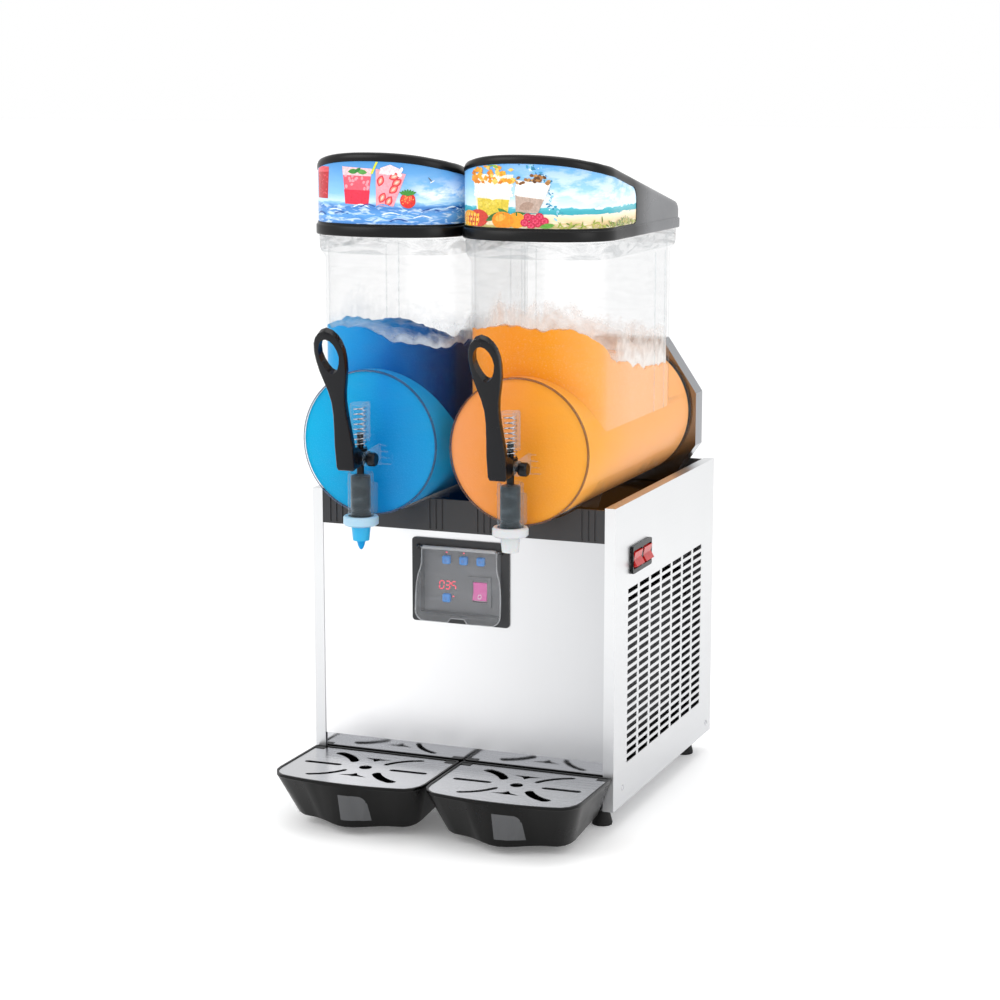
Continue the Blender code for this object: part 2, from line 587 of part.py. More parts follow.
def bowl_outer(x, out):
    """Clear bowl: a lying cylinder with the hopper standing on it, and the tap's barrel in front."""
    edge = 0.003
    profile = [(0, -OVERHANG), (BOWL_R - edge, -OVERHANG), (BOWL_R, -OVERHANG + edge), (BOWL_R, BOWL_END), (0, BOWL_END)]
    bowl = lathe(profile, "Y", (x, 0, AXIS_Z), 44)
    rows = [(0, AXIS_Z), (0, RIM_TOP - RIM_TALL - 0.004), (-RIM_OUT * 0.8, RIM_TOP - RIM_TALL + 0.003),
            (-RIM_OUT, RIM_TOP - RIM_TALL + 0.008), (-RIM_OUT, RIM_TOP)]
    well = stack([level(hopper(i), z) for i, z in rows], x)
    wing = [(out * u + x, AXIS_Z + v) for u, v in ((BOWL_R * 0.45, -0.071 * BOWL_R / 0.0885),
            (BOWL_R * 0.90, -0.071 * BOWL_R / 0.0885), (BOWL_R * 0.98, -0.040), (BOWL_R * 0.68, -0.040))]
    return [bowl, well, prism(wing, "Y", 0.003, 0.006)]


def tap_outer(x):
    """Barrel, its duct, the spring chimney with its web, and two ears for the pin."""
    face = -OVERHANG + 0.001
    duct = box(x - 0.011, x + 0.011, TAP_Y, face, TAP_BASE + 0.0095, TAP_BASE + 0.0455)
    web = box(x - 0.0025, x + 0.0025, TAP_Y, face, TAP_BASE + 0.100, TAP_BASE + 0.1440)
    barrel = rod("Z", (x, TAP_Y, 0), BARREL_R, TAP_BASE, TAP_BASE + 0.061, 20)
    chimney = rod("Z", (x, TAP_Y, 0), 0.0118, TAP_BASE + 0.100, TAP_BASE + 0.1455, 16)
    tap = [duct, barrel, web, chimney]
    for part in (-1, 1):
        x0, x1 = sorted((x + part * (LEVER_HW + RUN), x + part * (LEVER_HW + 0.0045)))
        shape = hull(arc(PIN_Y, PIN_Z, 0.0085, 0, 360, 12) + [(face, PIN_Z - 0.013), (face, PIN_Z + 0.013)])
        tap.append(prism(shape, "X", x0, x1))
    return tap


def hollows(x):
    inner = rod("Y", (x, 0, AXIS_Z), BOWL_R - WALL, -OVERHANG + WALL + 0.0005, BOWL_END + 0.01, 44)
    well = stack([level(hopper(WALL), AXIS_Z + 0.003), level(hopper(WALL), RIM_TOP + 0.01)], x)
    bore = rod("Z", (x, TAP_Y, 0), BARREL_BORE, TAP_BASE - 0.01, TAP_BASE + 0.08, 20)
    spring_bore = rod("Z", (x, TAP_Y, 0), 0.0098, TAP_BASE + 0.09, TAP_BASE + 0.1415, 16)
    port = rod("Y", (x, 0, AXIS_Z - BOWL_R + 0.0110), 0.0058, TAP_Y, -OVERHANG + 0.01, 10)
    pin_hole = rod("X", (x, PIN_Y, PIN_Z), PIN_R + GAP, -0.03, 0.03, 12)
    return [inner, well, bore, spring_bore, port, pin_hole]


def lever_curve(s):
    """Centre line of the tap handle from its foot, leaning further forward as it rises."""
    steps = 24
    y, z = PIN_Y - 0.0235, PIN_Z - 0.0103
    for k in range(steps):
        lean = math.radians(8 + 19 * (k + 0.5) / steps * s / LEVER_L)
        y -= math.sin(lean) * s / steps
        z += math.cos(lean) * s / steps
    lean = math.radians(8 + 19 * s / LEVER_L)
    return y, z, lean


def lever(x):
    """Handle: widths along its length, a finger loop, then bent to its curve, with two cheeks."""
    half = [(0.0095, 0), (LEVER_HW, 0.004), (LEVER_HW, 0.030), (0.0100, 0.050), (0.0085, 0.070), (0.0085, 0.086),
            (0.0105, 0.100), (0.0140, 0.114), (0.0172, 0.128), (0.0188, 0.142), (0.0188, 0.154), (0.0168, 0.165),
            (0.0130, 0.173), (0.0075, 0.179), (0, LEVER_L)]
    middle = 0.148
    soft = 0.0020
    rows = [(soft, 0), (0, soft), (0, LEVER_T - soft), (soft, LEVER_T)]
    handle = stack([[(max(u - i, 0), i + v * (1 - 2 * i / LEVER_L), t - LEVER_T / 2) for u, v in half]
                    for i, t in rows], 0)
    loop = []
    for k in range(16):
        turn = 2 * math.pi * k / 16
        narrow = 1 - 0.22 * max(0, -math.sin(turn))
        loop.append((0.0128 * math.cos(turn) * narrow, middle + 0.0235 * math.sin(turn)))
    cut(handle, prism(loop, "Z", -0.03, 0.03))
    bm = bmesh.new()
    bm.from_mesh(handle.data)
    bmesh.ops.triangulate(bm, faces=bm.faces)
    for vert in bm.verts:
        u, s, t = vert.co
        y, z, lean = lever_curve(max(s, 0))
        vert.co = (x + u, y - t * math.cos(lean), z - t * math.sin(lean))
    bmesh.ops.recalc_face_normals(bm, faces=bm.faces)
    bm.to_mesh(handle.data)
    bm.free()
    boss = arc(PIN_Y, PIN_Z, 0.0068, 0, 330, 11)
    foot = hull([(PIN_Y - 0.022, PIN_Z - 0.0085), (PIN_Y - 0.022, PIN_Z + 0.016), (PIN_Y - 0.016, PIN_Z + 0.016)] + boss)
    nose = hull(arc(PIN_Y, PIN_Z, 0.0066, 0, 330, 11) + arc(PIN_Y + NOSE, PIN_Z + 0.003, 0.004, 0, 330, 11))
    tools = []
    for part in (-1, 1):
        for shape, inset in ((foot, 0.0001), (nose, 0.0004)):
            x0, x1 = sorted((x + part * (LEVER_HW - 0.006 + inset), x + part * (LEVER_HW - inset)))
            tools.append(prism(shape, "X", x0, x1))
    handle = add(handle, *tools)
    return cut(handle, rod("X", (x, PIN_Y, PIN_Z), PIN_R + GAP, -0.03, 0.03, 14))


def spring(x, low, high):
    """Coil with closed ends, wound about the tap axis."""
    wire, around, per_turn = 0.0008, 4, 8
    total = SPRING_COILS * per_turn
    bm = bmesh.new()
    rings = []
    for k in range(total + 1):
        turn = 2 * math.pi * k / per_turn
        z = low + wire + (high - low - 2 * wire) * k / total
        middle = Vector((x + SPRING_R * math.cos(turn), TAP_Y + SPRING_R * math.sin(turn), z))
        outward = Vector((math.cos(turn), math.sin(turn), 0))
        loop = []
        for j in range(around):
            spin = 2 * math.pi * j / around
            loop.append(bm.verts.new(middle + wire * (outward * math.cos(spin) + Vector((0, 0, 1)) * math.sin(spin))))
        rings.append(loop)
    for one, two in zip(rings, rings[1:]):
        for j in range(around):
            n = (j + 1) % around
            bm.faces.new((one[j], one[n], two[n], two[j]))
    bm.faces.new(rings[0])
    bm.faces.new(rings[-1])
    return to_object(bm)


def auger(x):
    """Shaft, front spokes, long bars and a flat spiral, in one piece."""
    y0, y1, inner, outer = 0.002, BOWL_END - 0.020, DRUM_R + 0.0050, AUGER_R
    bars_out = min(outer - 0.004, inner + 0.010)
    body = rod("Y", (x, 0, AXIS_Z), SHAFT_R, -0.014, BOWL_END + 0.007, 20)
    hub = lathe([(0, -0.030), (0.010, -0.028), (0.018, -0.016), (0.018, 0.0065), (0, 0.0065)], "Y", (x, 0, AXIS_Z), 20)
    body = add(body, hub)
    reach = bars_out - 0.001
    body = add(body, box(x - 0.005, x + 0.005, -0.005, 0.003, AXIS_Z - reach, AXIS_Z + reach))
    for side in (-1, 1):
        z0, z1 = sorted((AXIS_Z + side * (inner + 0.0007), AXIS_Z + side * bars_out))
        body = add(body, box(x - 0.006, x + 0.006, -0.0062, y1 + 0.0011, z0, z1))
    per_turn, thick = 16, 0.0045
    total = AUGER_TURNS * per_turn
    bm = bmesh.new()
    rings = []
    for k in range(total + 1):
        turn = 2 * math.pi * k / per_turn
        y = y0 + (y1 - y0 - thick) * k / total
        c, s = math.cos(turn), math.sin(turn)
        rings.append([bm.verts.new((x + r * c, y + t, AXIS_Z + r * s))
                      for r, t in ((inner, 0), (outer, 0), (outer, thick), (inner, thick))])
    for one, two in zip(rings, rings[1:]):
        for j in range(4):
            n = (j + 1) % 4
            bm.faces.new((one[j], one[n], two[n], two[j]))
    bm.faces.new(rings[0])
    bm.faces.new(rings[-1])
    return add(body, to_object(bm))


def case_outline(x, inset):
    """Eight-sided outline of the rear case: flat top, base and sides, longer facets above than below."""
    size = CASE_A - inset
    right = [(x + u * size, AXIS_Z + v * size) for u, v in ((0.625, -1.0), (0.992, -0.478), (0.992, 0.247), (0.495, 0.982))]
    return right + [(2 * x - u, v) for u, v in right[::-1]]


CASE_A = BOWL_R + DECK_CLEAR - 0.0008
CASE_COVER = 0.008      # how far the rear cover is set in from the case's front part
CASE_Y = BOWL_END + GAP
CASE_END = CAB_D - 0.006
COLLAR_R = BOWL_R * 0.787
LIFT_TOP = PIN_Z + 0.007 + GAP

for word, side in SIDES.items():
    x = side * BOWL_PITCH / 2
    at = (x, 0, AXIS_Z)
    bowl = cut(add(*bowl_outer(x, side), *tap_outer(x)), *hollows(x))
    node(f"bowl_{word}", bowl, "clear", (x, -OVERHANG, AXIS_Z))

    seal = lathe([(COLLAR_R + GAP, BOWL_END - 0.009), (BOWL_R - WALL - 0.0025, BOWL_END - 0.009),
                  (BOWL_R - WALL - GAP, BOWL_END - 0.006), (BOWL_R - WALL - GAP, BOWL_END),
                  (COLLAR_R + GAP, BOWL_END)], "Y", at, 32)
    node(f"bowl_seal_{word}", seal, "rubber")

    case = add(prism(case_outline(x, 0), "Y", CASE_Y, CASE_Y + 0.028),
               prism(case_outline(x, CASE_COVER), "Y", CASE_Y + 0.001, CASE_END))
    cut(case, prism(case_outline(x, CASE_COVER + 0.003), "Y", CASE_Y + 0.0035, CASE_END + 0.01))
    case = add(case, ring("Y", at, COLLAR_R - 0.006, COLLAR_R, BOWL_END - 0.008, CASE_Y + 0.002, 32))
    cut(case, rod("Y", at, SHAFT_R + RUN, -1, 1))
    node(f"rear_case_{word}", case, "stainless")

    flange_r, dome = COLLAR_R - 0.0068, 0.018
    profile = [(SHAFT_R + RUN, 0.012), (DRUM_R - 0.012, 0.012), (DRUM_R, 0.012 + dome), (DRUM_R, BOWL_END - 0.0075),
               (flange_r, BOWL_END - 0.0075), (flange_r, BOWL_END), (DRUM_R - 0.002, BOWL_END),
               (DRUM_R - 0.002, 0.0125 + dome), (DRUM_R - 0.0127, 0.014), (SHAFT_R + RUN, 0.014)]
    node(f"evaporator_{word}", lathe(profile, "Y", at, 22), "stainless")

    node(f"auger_{word}", auger(x), "white_plastic", at)

    motor = prism(case_outline(x, CASE_COVER + 0.003 + GAP), "Y", CASE_END - 0.0025, CASE_END)
    motor = add(motor, box(x - 0.036, x + 0.036, CASE_Y + 0.012, CASE_END - 0.001, AXIS_Z - 0.036, AXIS_Z + 0.036),
                rod("Y", at, 0.014, CASE_Y + 0.0035 + GAP, CASE_Y + 0.014))
    cut(motor, rod("Y", at, SHAFT_R + RUN, -1, BOWL_END + 0.0085))
    node(f"gearmotor_{word}", motor, "black_paint")

    # Lid: frame, picture window that wraps the front and both sides, and the lamp tray underneath.
    hood = stack(lid_solid(0, LID_Z), x)
    cut(hood, stack(lid_solid(LID_WALL, LID_Z - 0.01, LID_WALL, 0.003), x), prism(picture_shape(0), "X", x - 0.2, x + 0.2))
    node(f"lid_frame_{word}", hood, "black_plastic")
    picture = stack(lid_solid(0.0006, LID_Z), x)
    cut(picture, stack(lid_solid(0.0026, LID_Z - 0.01, 0.0026, 0.004), x))
    picture = combine(picture, [prism(picture_shape(-GAP), "X", x - 0.2, x + 0.2)], "INTERSECT")
    node(f"lid_picture_{word}", picture, "picture")
    tray_plan = plan(LID_HW, LID_FRONT, LID_REAR, LID_WALL + 0.0005)
    lamp = stack([level(tray_plan, LID_Z), level(tray_plan, LID_Z + 0.002)], x)
    lamp = add(lamp, box(x - 0.060, x + 0.060, 0.010, 0.030, LID_Z + 0.001, LID_Z + 0.014))
    node(f"lid_tray_{word}", lamp, "white_plastic")

    # Tap: piston with its collar, spring, handle, pin with a knob, and the nozzle.
    spot = (x, TAP_Y, 0)
    head = BARREL_BORE - GAP
    profile = [(0, TAP_BASE + 0.001), (head, TAP_BASE + 0.001), (head, TAP_BASE + 0.013),
               (head - 0.0015, TAP_BASE + 0.014), (head - 0.0015, TAP_BASE + 0.017), (head, TAP_BASE + 0.018),
               (head, TAP_BASE + 0.038), (head - 0.002, TAP_BASE + 0.040), (0.0045, TAP_BASE + 0.043),
               (0.0045, LIFT_TOP), (0.0088, LIFT_TOP), (0.0088, LIFT_TOP + 0.003), (0.0040, LIFT_TOP + 0.003),
               (0.0040, LIFT_TOP + 0.022), (0, LIFT_TOP + 0.022)]
    node(f"valve_piston_{word}", lathe(profile, "Z", spot, 16), "black_plastic", (x, TAP_Y, LIFT_TOP))
    node(f"valve_spring_{word}", spring(x, LIFT_TOP + 0.003 + GAP, TAP_BASE + 0.1415 - GAP), "steel_wire",
         (x, TAP_Y, TAP_BASE + 0.1415))
    node(f"tap_handle_{word}", lever(x), "black_plastic", (x, PIN_Y, PIN_Z))
    knob, reach = 0.0085, LEVER_HW + 0.0045
    profile = [(0, -reach - 0.0035), (0.0048, -reach - 0.003), (0.0048, -reach - GAP), (PIN_R, -reach - GAP),
               (PIN_R, reach + GAP), (knob - 0.002, reach + GAP), (knob, reach + 0.003), (knob, reach + 0.0095),
               (knob - 0.0015, reach + 0.0115), (0, reach + 0.012)]
    node(f"tap_pin_{word}", lathe(profile, "X", (x, PIN_Y, PIN_Z), 12), "black_plastic", (x, PIN_Y, PIN_Z))
    profile = [(0.0085, TAP_BASE - 0.0215), (0.0100, TAP_BASE - 0.0215), (0.0118, TAP_BASE - 0.0045),
               (0.0190, TAP_BASE - 0.0030), (0.0215, TAP_BASE - 0.0010), (0.0215, TAP_BASE + 0.0065),
               (0.0200, TAP_BASE + 0.0085), (BARREL_R + GAP, TAP_BASE + 0.0085), (BARREL_R + GAP, TAP_BASE - GAP),
               (0.0100, TAP_BASE - GAP)]
    node(f"tap_nozzle_{word}", lathe(profile, "Z", spot, 20), "white_plastic")


# ---------------------------------------------------------------- drip trays

TRAY_LOW = FOOT_H - 0.0155       # underside of a tray at its front
TRAY_IN = 0.018                  # how far each side leans in from the rim to the underside


def tray_half(inset, depth):
    """Half a tray seen from above, front middle to rear middle. Depth is 0 at the rim and 1 at the underside."""
    hw, front, rear = TRAY_W / 2 - inset, -TRAY_REACH + inset, -0.0005 - inset
    corner = 0.026 - min(inset, 0.018)
    side_front = -TRAY_REACH + 0.028
    bow = [(hw * t, front + (side_front - corner * 0.55 - front) * t ** 2.2) for t in (0, 0.13, 0.26, 0.38, 0.5, 0.62, 0.75)]
    start = bow[-1]
    turn = [(start[0] + (hw - start[0]) * math.sin(math.radians(a)),
             start[1] + (side_front + 0.012 - start[1]) * (1 - math.cos(math.radians(a)))) for a in (22, 45, 68, 90)]
    small = 0.004
    rim = bow + turn + arc(hw - small, rear - small, small, 0, 90, 2)
    half = []
    for x, y in rim:
        bulge = math.cos(min(1, x / (TRAY_W * 0.32)) * math.pi / 2) ** 2
        lean = 0.033 - 0.019 * bulge
        half.append((x * (1 - depth * TRAY_IN / hw), y * (1 - depth * lean / TRAY_REACH)))
    return half


def tray_floor(raise_by):
    """The underside is level in front and rises towards the rear."""
    def height(x, y):
        return TRAY_LOW + raise_by + 0.10 * max(0, y + TRAY_REACH - 0.045)
    return height


def tray_level(inset, depth, height):
    return [(x, y, height(x, y) if callable(height) else height) for x, y in tray_half(inset, depth)]


def capsule(x, y, length, width, angle):
    turn = math.radians(angle)
    points = arc(length / 2 - width / 2, 0, width / 2, -90, 90, 3) + arc(width / 2 - length / 2, 0, width / 2, 90, 270, 3)
    return [(x + u * math.cos(turn) - v * math.sin(turn), y + u * math.sin(turn) + v * math.cos(turn)) for u, v in points]


def crescent(start, end, width, bulge):
    """Bent slot with round ends, its middle line bowed to one side."""
    start, end = Vector(start), Vector(end)
    along = end - start
    across = Vector((-along.y, along.x)).normalized()
    upper, lower = [], []
    for t in (0, 0.06, 0.3, 0.5, 0.7, 0.94, 1):
        spine = start + along * t + across * bulge * 4 * t * (1 - t)
        half = width / 2 * (0.45 if t in (0, 1) else 1)
        upper.append(spine + across * half)
        lower.append(spine - across * half)
    return [tuple(p) for p in lower + upper[::-1]]


GRID_T = 0.0015
GRID_Z = TRAY_TOP - 0.0010 - GRID_T
MID_TRAY = -0.0665

for word, side in SIDES.items():
    x = side * TRAY_X
    rows = [(0.002, 1, tray_floor(0)), (0, 0.97, tray_floor(0.002)), (0, 0.04, TRAY_TOP - 0.0050),
            (0, 0, TRAY_TOP - 0.0035), (0, 0, TRAY_TOP)]
    outside = stack([tray_level(*row) for row in rows], x)
    rows = [(0.0045, 0.96, tray_floor(0.0028)), (0.0055, 0.10, GRID_Z - GAP - 0.004), (0.0055, 0.04, GRID_Z + 0.01)]
    tray = cut(outside, stack([tray_level(*row) for row in rows], x),
               stack([tray_level(0.0025, 0, GRID_Z - GAP), tray_level(0.0025, 0, GRID_Z + 0.02)], x))
    tools = []
    for part in (-1, 1):
        mid = x + part * TRAY_W / 4
        tools.append(box(mid - TAB_W / 2, mid + TAB_W / 2, -0.0045, 0.012, TAB_Z, TAB_Z + TAB_T))
        corner = x + part * (TRAY_W / 2 - 0.0085)
        tools.append(box(corner - 0.0075, corner + 0.0070, -0.0125, -0.0015, GRID_Z - 0.004, TRAY_TOP - 0.0005))
    tray = add(tray, *tools)
    node(f"drip_tray_{word}", tray, "black_plastic")

    grid = stack([tray_level(0.0025 + GAP, 0, GRID_Z), tray_level(0.0025 + GAP, 0, GRID_Z + GRID_T)], x)
    shapes = [arc(x, MID_TRAY, 0.0082, 0, 330, 11)]
    for part in (-1, 1):
        shapes.append(capsule(x + part * 0.0570, MID_TRAY + part * 0.0015, 0.050, 0.0078, 2))
        shapes.append(crescent((x + part * 0.0175, MID_TRAY + part * 0.017), (x + part * 0.0565, MID_TRAY + part * 0.052), 0.0074, 0.0055))
        shapes.append(crescent((x - part * 0.0215, MID_TRAY + part * 0.0165), (x - part * 0.0585, MID_TRAY + part * 0.046), 0.0120, -0.0050))
        shapes.append([(x + u, MID_TRAY + part * (0.034 + v)) for u, v in
                       ((0.0, -0.0085), (0.0045, -0.0015), (0.019, 0.005), (0.0045, 0.0045), (0.0, 0.0058), (-0.0045, 0.0045),
                        (-0.019, 0.005), (-0.0045, -0.0015))])
    tools = [prism(shape, "Z", GRID_Z - 0.01, GRID_Z + 0.01) for shape in shapes]
    for part in (-1, 1):
        x0, x1 = sorted((x + part * (TRAY_W / 2 - 0.016 - GAP), x + part * TRAY_W))
        tools.append(box(x0, x1, -0.0125 - GAP, 0.01, GRID_Z - 0.01, GRID_Z + 0.01))
    cut(grid, *tools)
    node(f"drip_grid_{word}", grid, "stainless", (x, MID_TRAY, GRID_Z))
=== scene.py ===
import math
import random

import bmesh
import bpy
import numpy as np
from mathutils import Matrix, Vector, noise
from mathutils.bvhtree import BVHTree


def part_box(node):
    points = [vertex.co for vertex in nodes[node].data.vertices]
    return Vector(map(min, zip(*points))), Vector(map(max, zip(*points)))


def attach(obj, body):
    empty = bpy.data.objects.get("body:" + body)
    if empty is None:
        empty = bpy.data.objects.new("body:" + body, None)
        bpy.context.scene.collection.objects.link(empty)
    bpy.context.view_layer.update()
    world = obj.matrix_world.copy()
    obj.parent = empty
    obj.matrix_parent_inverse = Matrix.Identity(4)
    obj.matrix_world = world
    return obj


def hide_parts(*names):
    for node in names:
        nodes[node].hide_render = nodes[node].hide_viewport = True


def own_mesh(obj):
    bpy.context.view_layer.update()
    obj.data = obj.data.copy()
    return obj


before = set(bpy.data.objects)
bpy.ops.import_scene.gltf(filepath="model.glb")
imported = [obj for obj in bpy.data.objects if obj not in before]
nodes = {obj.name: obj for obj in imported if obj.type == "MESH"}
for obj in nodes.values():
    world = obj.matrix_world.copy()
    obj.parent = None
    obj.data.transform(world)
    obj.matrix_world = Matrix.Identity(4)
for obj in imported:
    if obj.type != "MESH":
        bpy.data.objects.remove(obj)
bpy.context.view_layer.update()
scene = bpy.context.scene
print("frame loaded")

# camera at the machine's front right, a little above it
cameraView = {"position": (1.1162, -2.7739, 0.9272), "yaw": 21.81, "pitch": 10.36, "lens": 86.63}
cameraData = bpy.data.cameras.new("camera")
cameraData.lens = cameraView["lens"]
cameraData.sensor_width = 36
camera = bpy.data.objects.new("camera", cameraData)
scene.collection.objects.link(camera)
camera.location = cameraView["position"]
camera.rotation_euler = (math.radians(90 - cameraView["pitch"]), 0, math.radians(cameraView["yaw"]))
scene.camera = camera
scene.view_settings.view_transform = "Standard"
scene.cycles.transparent_max_bounces = 32        # light passes many clear walls before it reaches the slush

# places that everything below is measured from
sideLow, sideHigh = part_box("side_panel_right")
frontY = sideLow.y                               # cabinet's front face
halfWidth = sideHigh.x
sealLow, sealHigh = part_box("bowl_seal_right")
bowlX = (sealLow.x + sealHigh.x) / 2
axisZ = (sealLow.z + sealHigh.z) / 2
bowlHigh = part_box("bowl_right")[1]
lidLow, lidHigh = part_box("lid_frame_right")
pinLow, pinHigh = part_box("tap_pin_right")
pinY = (pinLow.y + pinHigh.y) / 2 - frontY
pinZ = (pinLow.z + pinHigh.z) / 2
plateLow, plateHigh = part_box("control_plate")
sides = {"left": -1, "right": 1}


def linear(hexColour):
    # sRGB hex to the linear values that the shader works in
    values = [int(hexColour[i:i + 2], 16) / 255 for i in (1, 3, 5)]
    return tuple(v / 12.92 if v <= 0.04045 else ((v + 0.055) / 1.055) ** 2.4 for v in values) + (1.0,)


def connect(node, links):
    for key, source in links.items():
        node.id_data.links.new(source.outputs[0] if hasattr(source, "outputs") else source, node.inputs[key])


def addNode(tree, kind, settings=None, links=None):
    # settings hold properties by name and socket values by number or name; a link starts at a socket or a node
    made = tree.nodes.new("ShaderNode" + kind)
    for key, value in (settings or {}).items():
        if key == "stops":
            while len(made.color_ramp.elements) < len(value):
                made.color_ramp.elements.new(0.5)
            for element, (position, colour) in zip(made.color_ramp.elements, value):
                element.position = position
                element.color = linear(colour)
        elif isinstance(key, int) or key in made.inputs:
            made.inputs[key].default_value = linear(value) if isinstance(value, str) else value
        else:
            setattr(made, key, value)
    connect(made, links or {})
    return made


def newMaterial(name, colour, metallic, roughness, ior=1.5, **sockets):
    # gives back the material, its tree, its shader and its object coordinates
    made = bpy.data.materials.new(name)
    made.use_nodes = True
    tree = made.node_tree
    shader = tree.nodes["Principled BSDF"]
    shader.inputs["Base Color"].default_value = linear(colour)
    shader.inputs["Metallic"].default_value = metallic
    shader.inputs["Roughness"].default_value = roughness
    if metallic < 1:
        shader.inputs["IOR"].default_value = ior
    for key, value in sockets.items():
        shader.inputs[key.replace("_", " ")].default_value = value
    return made, tree, shader, addNode(tree, "TexCoord").outputs["Object"]


def brushedStainless(name, along, colour="#E4E5E7", roughness=0.30, tint=0.06, fade=None):
    # 304 sheet with a No. 4 satin polish: pale grey, soft streaked highlights along the polishing direction
    made, tree, shader, place = newMaterial(name, colour, 1.0, roughness)
    # grit lines near 0.5 mm, drawn coarse to show
    stretch = {"X": (6, 900, 900), "Y": (900, 6, 900), "Z": (900, 900, 6)}[along]
    point = addNode(tree, "Mapping", {"Scale": stretch}, {"Vector": place})
    grain = addNode(tree, "TexNoise", {"Scale": 1.0, "Detail": 4.0, "Roughness": 0.65}, {"Vector": point})
    broad = addNode(tree, "TexNoise", {"Scale": 5.0, "Detail": 2.0}, {"Vector": place})
    mixed = addNode(tree, "Math", {"operation": "ADD"}, {0: grain, 1: broad})
    rough = addNode(tree, "MapRange", {1: 0.6, 2: 1.4, 3: roughness - tint, 4: roughness + tint}, {0: mixed})
    bump = addNode(tree, "Bump", {"Strength": 0.05, "Distance": 0.0003}, {"Height": grain})
    connect(shader, {"Roughness": rough, "Normal": bump})
    if fade:                                         # painted light: the colour darkens from one end to the other
        axis, low, high, far = fade
        parts = addNode(tree, "SeparateXYZ", None, {0: place})
        run = addNode(tree, "MapRange", {1: low, 2: high}, {0: parts.outputs[axis]})
        paintedSheen = addNode(tree, "Mix", {"data_type": "RGBA", 6: colour, 7: far}, {0: run})
        connect(shader, {"Base Color": paintedSheen.outputs[2]})
    return made


def polishedSteel(name, colour="#D9DADD", roughness=0.07):
    # bright-annealed sheet: mirror reflections with faint handling smears
    made, tree, shader, place = newMaterial(name, colour, 1.0, roughness)
    point = addNode(tree, "Mapping", {"Scale": (1, 1, 3)}, {"Vector": place})
    smear = addNode(tree, "TexNoise", {"Scale": 14.0, "Detail": 5.0}, {"Vector": point})
    rough = addNode(tree, "MapRange", {1: 0.35, 2: 0.75, 3: roughness, 4: roughness + 0.08}, {0: smear})
    connect(shader, {"Roughness": rough})
    return made


def mouldedAbs(name, colour, roughness=0.32, grain=0.10, ior=1.53, gloss=0.5, paintedSheen=None):
    # injection-moulded ABS: even colour, fine spark-eroded texture that breaks the highlight up
    made, tree, shader, place = newMaterial(name, colour, 0.0, roughness, ior, Specular_IOR_Level=gloss)
    # 0.7 mm pits, drawn coarse
    fine = addNode(tree, "TexNoise", {"Scale": 1400.0, "Detail": 2.0}, {"Vector": place})
    soft = addNode(tree, "TexNoise", {"Scale": 18.0, "Detail": 3.0}, {"Vector": place})
    rough = addNode(tree, "MapRange", {1: 0.3, 2: 0.7, 3: roughness - 0.05, 4: roughness + 0.06}, {0: soft})
    lift = addNode(tree, "MapRange", {1: 0.3, 2: 0.7, 3: 0.0, 4: 0.35}, {0: soft})
    pale = tuple(min(1, c * 1.25 + 0.002) for c in linear(colour)[:3]) + (1,)
    shade = addNode(tree, "Mix", {"data_type": "RGBA", 6: colour, 7: pale}, {0: lift})
    bump = addNode(tree, "Bump", {"Strength": grain, "Distance": 0.0002}, {"Height": fine})
    connect(shader, {"Roughness": rough})
    last = shade
    if paintedSheen:                                        # painted highlight: the colour turns paler towards the rear
        low, high, far = paintedSheen
        parts = addNode(tree, "SeparateXYZ", None, {0: place})
        run = addNode(tree, "MapRange", {1: low, 2: high}, {0: parts.outputs["Y"]})
        last = addNode(tree, "Mix", {"data_type": "RGBA", 7: far}, {0: run, 6: shade.outputs[2]})
    connect(shader, {"Base Color": last.outputs[2], "Normal": bump})
    return made


def clearPolycarbonate(name, thin, edge, colour="#7C8488", paintedStreaks=0.0):
    # moulded clear polycarbonate: nearly invisible face on, greying and glossy where it is seen edge on
    made, tree, shader, place = newMaterial(name, colour, 0.0, 0.04, 1.58)
    facing = addNode(tree, "LayerWeight", {"Blend": 0.35}).outputs["Facing"]
    power = addNode(tree, "Math", {"operation": "POWER", 1: 2.6}, {0: facing})
    cover = addNode(tree, "MapRange", {1: 0.0, 2: 1.0, 3: thin, 4: edge}, {0: power})
    # painted reflections: grey streaks laid into the alpha stand in for the reflections and refraction seen in the
    # clear wall
    point = addNode(tree, "Mapping", {"Scale": (22, 22, 90)}, {"Vector": place})
    streakNoise = addNode(tree, "TexNoise", {"Scale": 1.0, "Detail": 3.0, "Distortion": 1.2}, {"Vector": point})
    paintedStreak = addNode(tree, "MapRange", {1: 0.48, 2: 0.66, 3: 0.0, 4: paintedStreaks}, {0: streakNoise})
    total = addNode(tree, "Math", {"operation": "ADD", "use_clamp": True}, {0: cover, 1: paintedStreak})
    rough = addNode(tree, "MapRange", {1: 0.3, 2: 0.7, 3: 0.02, 4: 0.08}, {0: streakNoise})
    connect(shader, {"Alpha": total, "Roughness": rough})
    return made


def silicone(name, colour, depth=0.25, flange=None):
    # translucent nozzle moulding: milky, light passes into the edges
    made, tree, shader, place = newMaterial(name, colour, 0.0, 0.34, 1.43, Subsurface_Weight=depth,
                                            Subsurface_Scale=0.01)
    cloud = addNode(tree, "TexNoise", {"Scale": 120.0, "Detail": 3.0}, {"Vector": place})
    rough = addNode(tree, "MapRange", {1: 0.3, 2: 0.7, 3: 0.28, 4: 0.42}, {0: cloud})
    bump = addNode(tree, "Bump", {"Strength": 0.08, "Distance": 0.0004}, {"Height": cloud})
    connect(shader, {"Roughness": rough, "Normal": bump})
    if flange:                                       # full of mix below, empty and paler at its flange
        height, pale = flange
        parts = addNode(tree, "SeparateXYZ", None, {0: place})
        run = addNode(tree, "MapRange", {1: height - 0.002, 2: height + 0.002}, {0: parts.outputs["Z"]})
        filled = addNode(tree, "Mix", {"data_type": "RGBA", 6: colour, 7: pale}, {0: run})
        connect(shader, {"Base Color": filled.outputs[2]})
    return made


